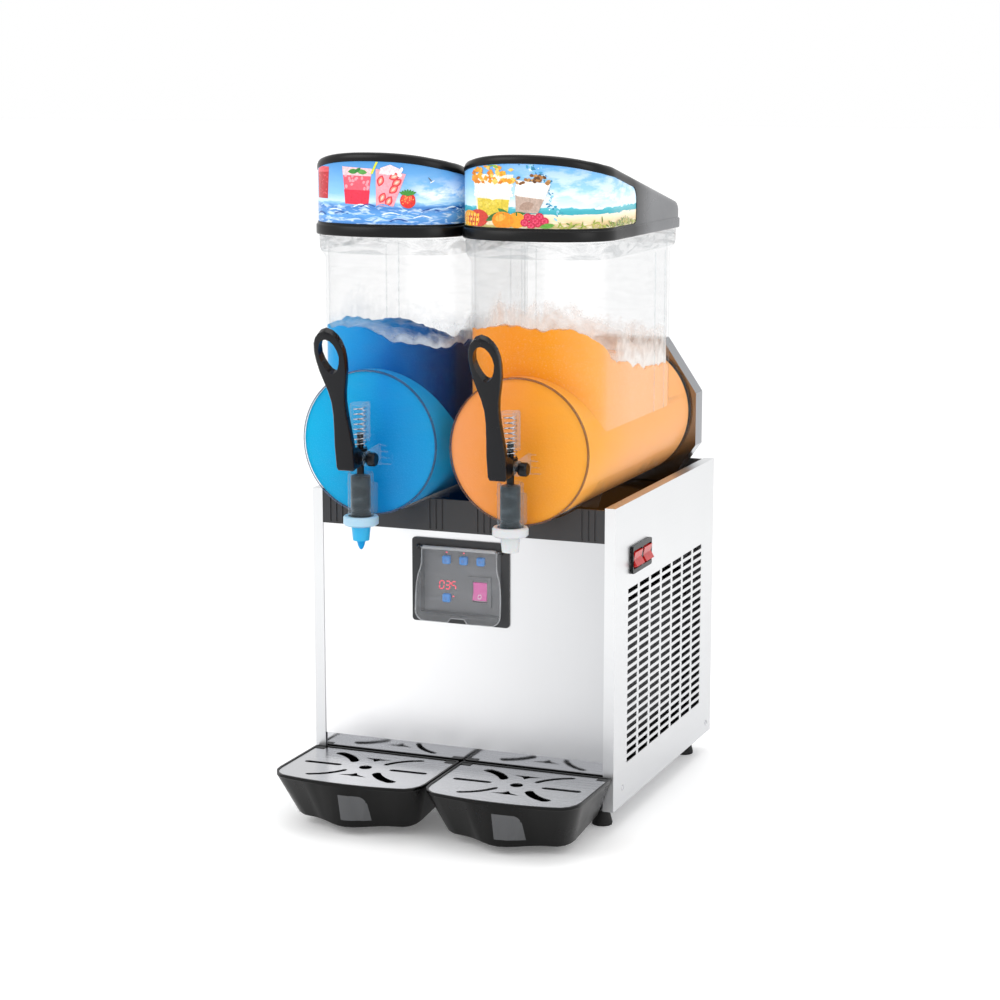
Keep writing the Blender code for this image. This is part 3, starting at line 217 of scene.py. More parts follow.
def frostFilm(name, colour):
    # frost on the inside of a clear wall: milky near the mix, breaking into patches and fading upward
    made, tree, shader, place = newMaterial(name, colour, 0.0, 0.7, 1.31)
    parts = addNode(tree, "SeparateXYZ", None, {0: addNode(tree, "TexCoord").outputs["UV"]})
    patch = addNode(tree, "TexNoise", {"Scale": 70.0, "Detail": 5.0, "Roughness": 0.6}, {"Vector": place})
    ragged = addNode(tree, "Math", {"operation": "MULTIPLY_ADD", 1: 1.1, 2: -0.55}, {0: patch})
    height = addNode(tree, "Math", {"operation": "ADD"}, {0: parts.outputs["Y"], 1: ragged})
    fade = addNode(tree, "MapRange", {1: 0.15, 2: 0.95, 3: 1.0, 4: 0.0}, {0: height})
    cover = addNode(tree, "Math", {"operation": "MULTIPLY"}, {0: fade, 1: parts.outputs["X"]})
    connect(shader, {"Alpha": cover})
    return made


def litPlastic(name, colour, glow, strength):
    # translucent key lit from behind: a hot middle that falls off to the edges
    made, tree, shader, place = newMaterial(name, colour, 0.0, 0.22, 1.49, Emission_Strength=strength)
    patch = addNode(tree, "TexNoise", {"Scale": 160.0, "Detail": 1.0}, {"Vector": place})
    glowing = addNode(tree, "ValToRGB", {"stops": [(0.3, colour), (0.7, glow)]}, {"Fac": patch})
    connect(shader, {"Emission Color": glowing})
    return made


def slushMix(name, across, rear, light, glow=0.10, grainSize=300.0, frost=0.22, start=-0.015):
    # frozen mix: tiny ice grains in syrup, matt where it is icy and wet where it meets the wall
    # painted light: the mix glows a little though it holds no lamp
    made, tree, shader, place = newMaterial(name, across[1][1], 0.0, 0.36, 1.34, Specular_IOR_Level=0.25,
                                            Subsurface_Weight=0.08, Subsurface_Scale=0.006, Emission_Strength=glow)
    parts = addNode(tree, "SeparateXYZ", None, {0: place})
    cloud = addNode(tree, "TexNoise", {"Scale": 15.0, "Detail": 6.0, "Roughness": 0.6}, {"Vector": place})
    # painted shading: the colour ramps from one side to the other, standing in for how the light falls
    width = addNode(tree, "MapRange", {1: -0.086, 2: 0.086}, {0: parts.outputs["X"]})
    shift = addNode(tree, "Math", {"operation": "MULTIPLY_ADD", 1: 0.34, 2: -0.17}, {0: cloud})
    drift = addNode(tree, "Math", {"operation": "ADD"}, {0: width, 1: shift})
    base = addNode(tree, "ValToRGB", {"stops": across}, {"Fac": drift})
    # painted shading: towards the rear the colour turns to the rear colour
    depth = addNode(tree, "MapRange", {1: start, 2: start + 0.125}, {0: parts.outputs["Y"]})
    rearPaintedShading = addNode(tree, "Mix", {"data_type": "RGBA", 7: rear}, {0: depth, 6: base})
    grain = addNode(tree, "TexVoronoi", {"Scale": grainSize}, {"Vector": place})   # 3 mm clumps of 0.5 mm crystals
    icy = addNode(tree, "MapRange", {1: 0.0, 2: 0.10, 3: 0.22, 4: frost}, {0: parts.outputs["Y"]})
    cell = addNode(tree, "MapRange", {1: 0.0, 2: 0.30, 3: 1.0, 4: 0.0}, {0: grain})
    speck = addNode(tree, "Math", {"operation": "MULTIPLY"}, {0: cell, 1: icy})
    flecked = addNode(tree, "Mix", {"data_type": "RGBA", 7: light}, {0: speck, 6: rearPaintedShading.outputs[2]})
    bump = addNode(tree, "Bump", {"Strength": 0.22, "Distance": 0.0006}, {"Height": grain})
    connect(shader, {"Base Color": flecked.outputs[2], "Emission Color": flecked.outputs[2], "Normal": bump})
    return made


def printedFilm(name, heights, streakColour, streakTop, cloudZone, glow=0.10):
    # backlit printed film behind a clear face: even, saturated, slightly glossy; U is round the lid, V is up it
    made, tree, shader, place = newMaterial(name, heights[0][1], 0.0, 0.24, 1.5, Emission_Strength=glow)
    spot = addNode(tree, "TexCoord").outputs["UV"]
    parts = addNode(tree, "SeparateXYZ", None, {0: spot})
    ripple = addNode(tree, "TexNoise", {"Scale": 1.0, "Detail": 5.0, "Distortion": 0.8},
                     {"Vector": addNode(tree, "Mapping", {"Scale": (24, 26, 1)}, {"Vector": spot})})
    wobble = addNode(tree, "Math", {"operation": "MULTIPLY_ADD", 1: 0.07, 2: -0.035}, {0: ripple})
    height = addNode(tree, "Math", {"operation": "ADD"}, {0: parts.outputs["Y"], 1: wobble})
    base = addNode(tree, "ValToRGB", {"stops": heights}, {"Fac": height})
    below = addNode(tree, "MapRange", {1: streakTop, 2: streakTop - 0.03}, {0: parts.outputs["Y"]})
    crest = addNode(tree, "MapRange", {1: 0.52, 2: 0.64, 4: 0.75}, {0: ripple})
    foam = addNode(tree, "Math", {"operation": "MULTIPLY"}, {0: below, 1: crest})
    waves = addNode(tree, "Mix", {"data_type": "RGBA", 7: streakColour}, {0: foam, 6: base})
    puff = addNode(tree, "TexNoise", {"Scale": 1.0, "Detail": 6.0, "Roughness": 0.6},
                   {"Vector": addNode(tree, "Mapping", {"Scale": (15, 9, 1)}, {"Vector": spot})})
    u0, u1, v0, v1, most = cloudZone
    zone = addNode(tree, "MapRange", {"interpolation_type": "SMOOTHSTEP", 1: u0, 2: u1, 4: most},
                   {0: parts.outputs["X"]})
    rise = addNode(tree, "MapRange", {"interpolation_type": "SMOOTHSTEP", 1: v1, 2: v0}, {0: parts.outputs["Y"]})
    thick = addNode(tree, "MapRange", {1: 0.42, 2: 0.58}, {0: puff})
    veil = addNode(tree, "Math", {"operation": "MULTIPLY"}, {0: zone, 1: rise})
    cloud = addNode(tree, "Math", {"operation": "MULTIPLY"}, {0: veil, 1: thick})
    above = addNode(tree, "MapRange", {1: v0 - 0.02, 2: v0}, {0: parts.outputs["Y"]})
    shown = addNode(tree, "Math", {"operation": "MULTIPLY"}, {0: cloud, 1: above})
    final = addNode(tree, "Mix", {"data_type": "RGBA", 7: "#FFFFFF"}, {0: shown, 6: waves.outputs[2]})
    connect(shader, {"Base Color": final.outputs[2], "Emission Color": final.outputs[2]})
    return made


def printedInk(name, glow=0.08):
    # the film's printed fruit and glasses: each patch carries its own colour, mottled a little like half-tone
    made, tree, shader, place = newMaterial(name, "#FFFFFF", 0.0, 0.26, 1.5, Emission_Strength=glow)
    ink = addNode(tree, "Attribute", {"attribute_name": "ink"}).outputs["Color"]
    dots = addNode(tree, "TexNoise", {"Scale": 420.0, "Detail": 3.0}, {"Vector": place})   # 2.4 mm mottling
    level = addNode(tree, "MapRange", {1: 0.3, 2: 0.7, 3: 0.78, 4: 1.14}, {0: dots})
    mottled = addNode(tree, "VectorMath", {"operation": "SCALE"}, {0: ink, "Scale": level})
    connect(shader, {"Base Color": mottled, "Emission Color": mottled})
    return made


# painted light and shade: the front sheet darkens towards its right side and the side sheet towards its bottom
steelAcross = brushedStainless("brushed_stainless_across", "Z", "#F0F0F1", 0.34, fade=("X", -0.15, 0.19, "#C3C4C6"))
steelSide = brushedStainless("brushed_stainless_side", "Y", "#DDDEDF", 0.36, fade=("Z", 0.30, 0.03, "#CBCCCE"))
steelMirror = polishedSteel("polished_stainless", "#C4C5C8")
gridSteel = brushedStainless("brushed_grid_steel", "X", "#C4C5C8", 0.24, 0.10)
caseSteel = polishedSteel("polished_case_steel", "#8E9094", 0.12)
blackAbs = mouldedAbs("black_abs", "#040405", 0.28, 0.05, gloss=0.20)
handleAbs = mouldedAbs("handle_abs", "#04050A", 0.25, 0.03, gloss=0.22)
trayAbs = mouldedAbs("tray_abs", "#030303", 0.30, 0.08, gloss=0.16)
stripAbs = mouldedAbs("strip_abs", "#2E2E30", 0.34, 0.10, gloss=0.35)
bezelAbs = mouldedAbs("bezel_abs", "#2A2B2D", 0.36, 0.12, gloss=0.3)
plateAbs = mouldedAbs("plate_abs", "#5C5D60", 0.35, 0.08)
# the deck is black and glossy; the brown in its colour is a painted reflection of the orange slush
deckAbs = polishedSteel("black_glossy_deck", "#241B15", 0.12)
whiteAcetal = mouldedAbs("white_acetal", "#E6E6E4", 0.30, 0.04, 1.48)
# the lid's paler grey towards the rear is a painted highlight
lidAbs = mouldedAbs("lid_abs", "#050506", 0.30, 0.05, gloss=0.24, paintedSheen=(0.085, 0.155, "#6E6F72"))
# a fifth value, where given, sets the strength of the painted reflection streaks
clearBowl = clearPolycarbonate("clear_polycarbonate", 0.012, 0.40, paintedStreaks=0.02)
clearRim = clearPolycarbonate("clear_rim", 0.10, 0.55, "#9BA0A3", 0.35)
clearTap = clearPolycarbonate("clear_tap", 0.045, 0.80, "#A9BDC9", 0.05)
clearFlap = clearPolycarbonate("clear_flap", 0.10, 0.60, "#B9BCC0", 0.04)
flapEdge = clearPolycarbonate("flap_bright_edge", 0.45, 0.80, "#C6C9CC", 0.25)
# painted light: the clear front edge is tinted blue and amber to stand in for the slush seen through it
edgeBlue = clearPolycarbonate("bowl_edge_blue", 0.55, 0.85, "#12406E")
edgeAmber = clearPolycarbonate("bowl_edge_amber", 0.50, 0.85, "#6A3A1E")
rubber = mouldedAbs("black_rubber", "#0E0E0E", 0.62, 0.25, 1.52, 0.3)
enamel = mouldedAbs("black_enamel", "#0C0C0D", 0.28, 0.05, gloss=0.35)
# painted shade: the condenser fins are darkened so that the vent slots read as the shade inside the cabinet
finsPaintedShade = brushedStainless("fins_painted_shade", "Z", "#2C2D30", 0.45, 0.08)
springSteel = polishedSteel("spring_steel", "#B9BBC0", 0.12)
nozzleWhite = silicone("nozzle_silicone_clear", "#C9CCCE")
nozzleBlue = silicone("nozzle_silicone_blue", "#1FA6D8", 0.15, (pinZ - 0.0840, "#A4C6DA"))
redLit = litPlastic("red_lit_rocker", "#980C10", "#E8281C", 0.28)
pinkLit = litPlastic("pink_lit_rocker", "#C04590", "#DD6DB4", 0.30)
redLed = litPlastic("red_led", "#E02848", "#FF5068", 1.0)
# the blue keys hold no lamp: their glow is painted light
blueKeyPaintedGlow = litPlastic("blue_key", "#1F7FD0", "#2E93E4", 0.18)
keyInk = mouldedAbs("dark_blue_ink", "#124F96", 0.45, 0.0)
whiteInk = mouldedAbs("white_ink", "#E8F2FA", 0.45, 0.0)
labelFilm = mouldedAbs("grey_label_film", "#4A4B4D", 0.26, 0.02, gloss=0.35)
frostBlue = frostFilm("blue_frost", "#E3EEF6")
frostPeach = frostFilm("peach_frost", "#F6F1EC")
# painted shade and light: the blue mix darkens towards its right side and its rear, the orange mix turns paler
# towards its right side and its rear
slushBlue = slushMix("blue_slush", [(0.0, "#1498D2"), (0.35, "#0C80C2"), (0.60, "#0A5EA4"), (0.92, "#062C60")],
                     "#062C5E", "#3AAEE0",
                     start=0.035)
slushBlueFront = slushMix("blue_slush_front", [(0.0, "#00A4D2"), (0.35, "#0496CC"), (0.60, "#0880C4"),
                                               (1.0, "#0E8EC6")], "#08509C", "#44C4EA")
slushOrange = slushMix("orange_slush", [(0.0, "#E28E34"), (0.4, "#DC841C"), (0.7, "#E08E20"), (1.0, "#E8A050")],
                       "#F0AE78", "#FFE0C4", 0.12, 300.0, 0.6)
slushOrangeFront = slushMix("orange_slush_front", [(0.0, "#E2925A"), (0.4, "#E08A34"), (0.65, "#E4922A"),
                                                   (1.0, "#E8A03A")], "#EEA45C", "#FFC888")
filmSea = printedFilm("printed_film_sea", [(0.0, "#447FC6"), (0.10, "#5C9EDC"), (0.20, "#3F7CC4"), (0.245, "#86BEEA"),
                                           (0.27, "#C6E2F6"), (0.36, "#86C0EE"), (0.78, "#3384C8")], "#D8ECFA", 0.25,
                                           (0.55, 0.72, 0.28, 0.62, 1.0))
filmBeach = printedFilm("printed_film_beach", [(0.0, "#A8A05A"), (0.06, "#D9C08E"), (0.13, "#F0DEBB"),
                                               (0.165, "#F4E9D0"),
                                               (0.175, "#2F9FAE"), (0.235, "#4FB4C0"), (0.245, "#DCF0FA"),
                                               (0.45, "#96CAF0"),
                                               (0.78, "#4C9ADE")], "#F6ECD6", 0.10, (0.36, 0.62, 0.27, 1.05, 0.55))
filmInk = printedInk("printed_ink")
print("materials made")


def smoothNormals(obj, angle=34):
    # the frame's triangles share no corners, so soft shading comes from normals averaged by place
    mesh = obj.data
    count = len(mesh.loops)
    corner = np.empty(count, np.int32)
    mesh.loops.foreach_get("vertex_index", corner)
    points = np.empty(len(mesh.vertices) * 3)
    mesh.vertices.foreach_get("co", points)
    points = points.reshape(-1, 3)[corner]
    flat = np.empty(len(mesh.polygons) * 3)
    mesh.polygons.foreach_get("normal", flat)
    area = np.empty(len(mesh.polygons))
    mesh.polygons.foreach_get("area", area)
    flat = np.repeat(flat.reshape(-1, 3), 3, axis=0)
    area = np.repeat(area, 3)
    groups = {}
    for index, key in enumerate(map(tuple, np.round(points, 6))):
        groups.setdefault(key, []).append(index)
    limit = math.cos(math.radians(angle))
    result = flat.copy()
    for members in groups.values():
        members = np.array(members)
        near = flat[members] @ flat[members].T > limit
        total = (near * area[members][None, :]) @ flat[members]
        length = np.linalg.norm(total, axis=1)
        good = length > 1e-12
        result[members[good]] = total[good] / length[good][:, None]
    mesh.polygons.foreach_set("use_smooth", np.ones(len(mesh.polygons), bool))
    mesh.normals_split_custom_set(result)


finishes = {
    "side_panel": steelSide, "front_panel": steelAcross, "rear_panel": steelAcross, "base_pan": steelMirror,
    "top_deck": deckAbs,
    "front_strip": stripAbs, "control_bezel": bezelAbs, "control_plate": plateAbs, "control_flap": clearFlap,
    "button": blueKeyPaintedGlow,
    "control_rocker": pinkLit, "side_switch_frame": blackAbs, "side_rocker": redLit, "compressor": enamel,
    "condenser": finsPaintedShade,
    "fan_motor": enamel, "fan_blade": plateAbs, "power_inlet": blackAbs, "foot": rubber, "gearmotor": enamel,
    "rear_case": caseSteel,
    "evaporator": steelMirror, "auger": whiteAcetal, "bowl_seal": rubber, "lid_frame": blackAbs,
    "lid_picture": filmSea,
    "lid_tray": whiteAcetal, "valve_piston": blackAbs, "valve_spring": springSteel, "tap_handle": handleAbs,
    "tap_pin": handleAbs,
    "tap_nozzle": nozzleWhite, "drip_tray": trayAbs, "drip_grid": gridSteel, "bowl": clearBowl}
for name, obj in nodes.items():
    match = max((key for key in finishes if name.startswith(key)), key=len)
    for spot in range(len(obj.data.materials)):
        obj.data.materials[spot] = finishes[match]
    smoothNormals(obj, 52 if name.startswith("tap_handle") else 34)
nodes["tap_nozzle_left"].data.materials[0] = nozzleBlue
print("frame finished")


def pieceFromMesh(name, mesh, material, body, smooth=35, at=(0, 0, 0)):
    mesh.name = name
    mesh.materials.clear()
    mesh.materials.append(material)
    for face in mesh.polygons:
        face.use_smooth = True
    if smooth:
        mesh.set_sharp_from_angle(angle=math.radians(smooth))
    obj = bpy.data.objects.new(name, mesh)
    scene.collection.objects.link(obj)
    obj.location = at
    if body:
        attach(obj, body)
    return obj


def finished(bm, mesh=None):
    mesh = mesh or bpy.data.meshes.new("made")
    bm.to_mesh(mesh)
    bm.free()
    return mesh


def meshFrom(verts, faces):
    mesh = bpy.data.meshes.new("made")
    mesh.from_pydata([tuple(v) for v in verts], [], faces)
    bm = bmesh.new()
    bm.from_mesh(mesh)
    bmesh.ops.remove_doubles(bm, verts=bm.verts, dist=1e-7)
    bmesh.ops.recalc_face_normals(bm, faces=bm.faces)
    return finished(bm, mesh)


def ringFaces(rings):
    # points of all the rings, and the four-cornered faces between each ring and the next
    verts = [v for ring in rings for v in ring]
    count = len(rings[0])
    faces = []
    for r in range(len(rings) - 1):
        for k in range(count):
            n = (k + 1) % count
            faces.append((r * count + k, r * count + n, (r + 1) * count + n, (r + 1) * count + k))
    return verts, faces, count


def loft(rings, cap=True):
    # rings of equal length, joined one to the next; ends are closed by a fan to their middle
    verts, faces, count = ringFaces(rings)
    if cap:
        for start in (0, (len(rings) - 1) * count):
            ring = verts[start:start + count]
            middle = [sum(v[i] for v in ring) / count for i in range(3)]
            verts.append(middle)
            for k in range(count):
                faces.append((start + k, start + (k + 1) % count, len(verts) - 1))
    return meshFrom(verts, faces)


def turned(profile, segments=64, axis="Y", middle=(0, 0, 0), closed=True):
    # a profile of (radius, height) turned about an axis
    rings = []
    for radius, height in profile:
        ring = []
        for k in range(segments):
            turn = 2 * math.pi * k / segments
            u, v = radius * math.cos(turn), radius * math.sin(turn)
            spot = {"X": (height, u, v), "Y": (u, height, v), "Z": (u, v, height)}[axis]
            ring.append([a + b for a, b in zip(spot, middle)])
        rings.append(ring)
    if closed:
        rings.append(rings[0])
    return loft(rings, cap=False)


def prismMesh(outline, low, high, axis="Y", bevel=0.0):
    # an outline in the plane across the axis, made solid, with its long edges chamfered
    def spot(u, v, w):
        return {"X": (w, u, v), "Y": (u, w, v), "Z": (u, v, w)}[axis]
    bm = bmesh.new()
    ends = [[bm.verts.new(spot(u, v, w)) for u, v in outline] for w in (low, high)]
    faces = [bm.faces.new(ring) for ring in ends]
    count = len(outline)
    for k in range(count):
        n = (k + 1) % count
        bm.faces.new((ends[0][k], ends[0][n], ends[1][n], ends[1][k]))
    bmesh.ops.recalc_face_normals(bm, faces=bm.faces)
    if bevel:
        edges = {e for f in faces for e in f.edges}
        bmesh.ops.bevel(bm, geom=list(edges), offset=bevel, segments=3, profile=0.6, affect="EDGES")
    return finished(bm)


def boolean(base, tools, operation):
    # cuts or joins meshes for good, and leaves nothing behind
    holders = []
    for mesh in [base] + tools:
        holder = bpy.data.objects.new("holder", mesh)
        scene.collection.objects.link(holder)
        holders.append(holder)
    for tool in holders[1:]:
        step = holders[0].modifiers.new("step", "BOOLEAN")
        step.operation = operation
        step.solver = "EXACT"
        step.object = tool
    bpy.context.view_layer.update()
    graph = bpy.context.evaluated_depsgraph_get()
    result = bpy.data.meshes.new_from_object(holders[0].evaluated_get(graph))
    for holder in holders:
        bpy.data.objects.remove(holder)
    return result


def arcPoints(cx, cy, radius, start, end, steps):
    turns = [math.radians(start + (end - start) * k / steps) for k in range(steps + 1)]
    return [(cx + radius * math.cos(t), cy + radius * math.sin(t)) for t in turns]


def roundedBox(u0, u1, v0, v1, radius, steps=6):
    left, right, low, high = u0 + radius, u1 - radius, v0 + radius, v1 - radius
    corners = [(right, high, 0), (left, high, 90), (left, low, 180), (right, low, 270)]
    return [spot for u, v, start in corners for spot in arcPoints(u, v, radius, start, start + 90, steps)]


bowlShape = {
    "radius": bowlX - 0.0082, "wall": 0.0035, "front": pinY + 0.039, "end": sealHigh.y - frontY,
    "hopperHalf": bowlX - 0.0104, "hopperFront": -0.032, "hopperRear": 0.264, "straight": 0.020,
    "rimTop": bowlHigh.z, "rimOut": 0.0065, "rimTall": 0.023, "mixGap": 0.0014, "augerGap": 0.0060,
    "tubeThick": 0.0090}


def planHalf(halfW, front, rear, corner, steps=28):
    # right half of a hopper or lid seen from above: bowed front, straight side, small rear corner
    straight = bowlShape["straight"]
    points = []
    for k in range(steps + 1):
        turn = math.pi / 2 * k / steps
        points.append((halfW * math.sin(turn) ** 0.90, straight - (straight - front) * math.cos(turn) ** 0.90))
    points[0], points[-1] = (0, front), (halfW, straight)
    for k in range(1, 20):
        points.append((halfW, straight + (rear - corner - straight) * k / 20))
    return points + arcPoints(halfW - corner, rear - corner, corner, 0, 90, 8)


def mirrored(half):
    return half + [(-x, y) for x, y in half[::-1] if x > 1e-9]


def planRing(inset):
    s = bowlShape
    return mirrored(planHalf(s["hopperHalf"] - inset, s["hopperFront"] + inset, s["hopperRear"] - inset,
                             0.014 - min(inset, 0.008)))


def planRings(rows):
    # rings over one another, each given by its inset and its height
    return [[(x, y, z) for x, y in planRing(inset)] for inset, z in rows]


def joined(parts):
    bm = bmesh.new()
    for part in parts:
        bm.from_mesh(part)
    return finished(bm)


def bowlMesh():
    s = bowlShape
    r, wall, front, end = s["radius"], s["wall"], s["front"], s["end"]
    profile = [(0.0, front), (r - 0.004, front), (r - 0.0016, front + 0.0006), (r - 0.0004, front + 0.002),
               (r, front + 0.004), (r, end), (0.0, end)]
    outer = turned(profile, 128, "Y", (0, 0, axisZ), closed=False)
    top, out, tall = s["rimTop"], s["rimOut"], s["rimTall"]
    rows = [(0, axisZ), (0, top - tall - 0.005), (-out * 0.3, top - tall - 0.002), (-out * 0.75, top - tall + 0.002),
            (-out * 0.97, top - tall + 0.007), (-out, top - tall + 0.010), (-out, top - 0.001), (-out + 0.001, top)]
    hopper = loft(planRings(rows))
    inner = turned([(0.0, front + wall), (r - wall - 0.002, front + wall), (r - wall, front + wall + 0.002),
                    (r - wall, end + 0.01),
                    (0.0, end + 0.01)], 128, "Y", (0, 0, axisZ), closed=False)
    well = loft(planRings((wall, z) for z in (axisZ + 0.003, top - tall, top + 0.02)))
    wing = prismMesh([(r * 0.45, axisZ - r * 0.80), (r * 0.90, axisZ - r * 0.80), (r * 0.98, axisZ - 0.040),
                      (r * 0.68, axisZ - 0.040)], 0.003, 0.006, "Y")
    outer = boolean(outer, [hopper, wing], "UNION")
    inner = boolean(inner, [well], "UNION")
    outer = boolean(outer, [inner], "DIFFERENCE")
    lugs = []
    for c, k in ((0.80, 0.60), (-0.80, 0.60)):
        lug = [(r * c + u, axisZ - r * k + v)
               for u, v in ((-0.005, 0.004), (0.004, 0.006), (0.006, -0.003), (-0.003, -0.006))]
        lugs += [prismMesh(lug, y, y + 0.004, "Y", 0.0006) for y in (0.186, 0.196, 0.226, 0.236)]
    return joined([outer] + lugs)


tapShape = {"y": pinY + 0.014, "base": pinZ - 0.0803, "bore": 0.0125, "outside": 0.0155}


def tapBodyMesh():
    # barrel with its duct and rings, spring chimney, web, the two ears and the short ribs beside the right one
    t = tapShape
    base, y, face = t["base"], t["y"], bowlShape["front"] + 0.0005
    a, b = t["bore"], t["outside"]
    barrel = turned([(a, base), (b, base), (b, base + 0.0465), (b + 0.0009, base + 0.0470),
                     (b + 0.0009, base + 0.0488),
                     (b, base + 0.0493), (b, base + 0.060), (b - 0.0005, base + 0.061), (a, base + 0.061)], 48, "Z",
                     (0, y, 0))
    chimney = turned([(0.0098, base + 0.100), (0.0118, base + 0.100), (0.0118, base + 0.144), (0.0105, base + 0.1455),
                      (0.0, base + 0.1455), (0.0, base + 0.1425), (0.0098, base + 0.1420)], 48, "Z", (0, y, 0),
                      closed=False)
    duct = prismMesh([(-0.011, y + 0.0135), (0.011, y + 0.0135), (0.011, face), (-0.011, face)], base + 0.0095,
                     base + 0.0455, "Z", 0.001)
    web = prismMesh([(-0.0022, y + 0.0112), (0.0022, y + 0.0112), (0.0022, face), (-0.0022, face)], base + 0.100,
                    base + 0.144, "Z", 0.0006)
    parts = [barrel, chimney, duct, web]
    for side in (-1, 1):
        x0, x1 = sorted((side * 0.0121, side * 0.0160))
        ear = arcPoints(pinY, pinZ, 0.0085, 100, 260, 14) + [(face, pinZ - 0.013), (face, pinZ + 0.013)]
        parts.append(prismMesh(ear, x0, x1, "X", 0.0007))
    for k in range(4):
        z = pinZ - 0.012 + k * 0.0075
        parts.append(prismMesh([(0.0165, z), (0.029 - 0.002 * k, z + 0.0004), (0.029 - 0.002 * k, z + 0.0012),
                                (0.0165, z + 0.0016)],
                               face - 0.0035, face, "Y"))
    return joined(parts)


def eased(value):
    value = min(1, max(0, value))
    return value * value * (3 - 2 * value)


def slushTop(side, x, y):
    # height of the frozen surface: heaped in front, lower to the rear, lumpy all over
    if side < 0:
        base = 0.6075 - 0.020 * eased((x + 0.03) / 0.10) - 0.040 * eased((y - 0.05) / 0.2)
    else:
        acrossFall = 0.35 + 0.65 * eased((x + 0.06) / 0.14)
        base = 0.6165 - 0.046 * eased((y + 0.030) / 0.090) * acrossFall - 0.026 * eased((y - 0.05) / 0.18)
    spot = Vector((x * 30, y * 30, side * 3.7))
    lumps = noise.fractal(spot, 0.9, 2.1, 4) * 0.0070
    return base + lumps + noise.noise(Vector((x * 120, y * 120, side * 9.1))) * 0.0024


def slushColumn(side):
    # what fills the hopper: its underside follows the auger's sweep, so the auger turns clear of it
    s = bowlShape
    outline = planRing(s["mixGap"])
    dense = []
    for (x0, y0), (x1, y1) in zip(outline, outline[1:] + outline[:1]):
        steps = max(1, int(math.hypot(x1 - x0, y1 - y0) / 0.0030))
        dense += [(x0 + (x1 - x0) * k / steps, y0 + (y1 - y0) * k / steps) for k in range(steps)]
    middle = (s["hopperFront"] + s["hopperRear"]) / 2
    sweep = s["radius"] - s["augerGap"]

    def under(x):
        return axisZ + math.sqrt(max(0, sweep * sweep - x * x))
    rings = []
    for k in range(11, 0, -1):
        scale = math.sin(math.pi / 2 * (1 - k / 12))
        rings.append([(x * scale, middle + (y - middle) * scale, under(x * scale)) for x, y in dense])
    for k in range(25):
        t = k / 24
        rings.append([(x, y, under(x) * (1 - t) + (slushTop(side, x, y) - 0.001) * t) for x, y in dense])
    for k in range(1, 30):
        scale = 1 - k / 30
        rings.append([(x * scale, middle + (y - middle) * scale,
                       slushTop(side, x * scale, middle + (y - middle) * scale)
                       + 0.0015 * (1 - scale)) for x, y in dense])
    return loft(rings)


def frostMesh(side):
    # a film on the hopper's inner wall above the mix; U is how thick it is there, V its height in the band
    s = bowlShape
    ring = planRing(s["wall"] + 0.0005)
    verts, uvs = [], []
    for x, y in ring:
        amount = 0.30 + 0.69 * eased((y - 0.03) / 0.06) if side > 0 else 0.25 + 0.5 * eased((x + 0.02) / 0.08)
        tall = 0.022 + 0.032 * eased((y - 0.03) / 0.06)
        low = slushTop(side, x, y) - 0.004
        for k in range(9):
            verts.append((x, y, low + tall * k / 8))
            uvs.append((amount, k / 8))
    faces = [(i * 9 + k, (i + 1) % len(ring) * 9 + k, (i + 1) % len(ring) * 9 + k + 1,
              i * 9 + k + 1) for i in range(len(ring)) for k in range(8)]
    mesh = bpy.data.meshes.new("made")
    mesh.from_pydata(verts, [], faces)
    layer = mesh.uv_layers.new(name="cover")
    for corner in mesh.loops:
        layer.data[corner.index].uv = uvs[corner.vertex_index]
    return mesh


def slushTube():
    # the shell of mix round the auger, open at the rear; the wall bends light, so it seems to reach the outside
    s = bowlShape
    outer, inner = s["radius"] - s["mixGap"], s["radius"] - s["tubeThick"]
    f, e = s["front"] + 0.0018, s["end"] - 0.0095
    profile = [(0.0, f), (outer - 0.002, f), (outer - 0.0006, f + 0.0006), (outer, f + 0.002), (outer, e),
               (outer - 0.002, e + 0.0006),
               (inner + 0.0008, e), (inner, e - 0.002), (inner, f + 0.010), (inner - 0.004, f + 0.006),
               (0.0, f + 0.006)]
    return turned(profile, 120, "Y", (0, 0, axisZ), closed=False)


def coilMesh(coil):
    # round wire wound about the tap axis, closed at both ends
    total = coil["turns"] * 28
    rings = []
    for k in range(total + 1):
        turn = 2 * math.pi * k / 28
        t = k / total
        z = coil["low"] + coil["wire"] + (coil["high"] - coil["low"] - 2 * coil["wire"]) * t
        c, s = math.cos(turn), math.sin(turn)
        loop = []
        for j in range(8):
            spin = 2 * math.pi * j / 8
            reach = coil["radius"] + coil["wire"] * math.cos(spin)
            loop.append((reach * c, tapShape["y"] + reach * s, z + coil["wire"] * math.sin(spin)))
        rings.append(loop)
    return loft(rings)


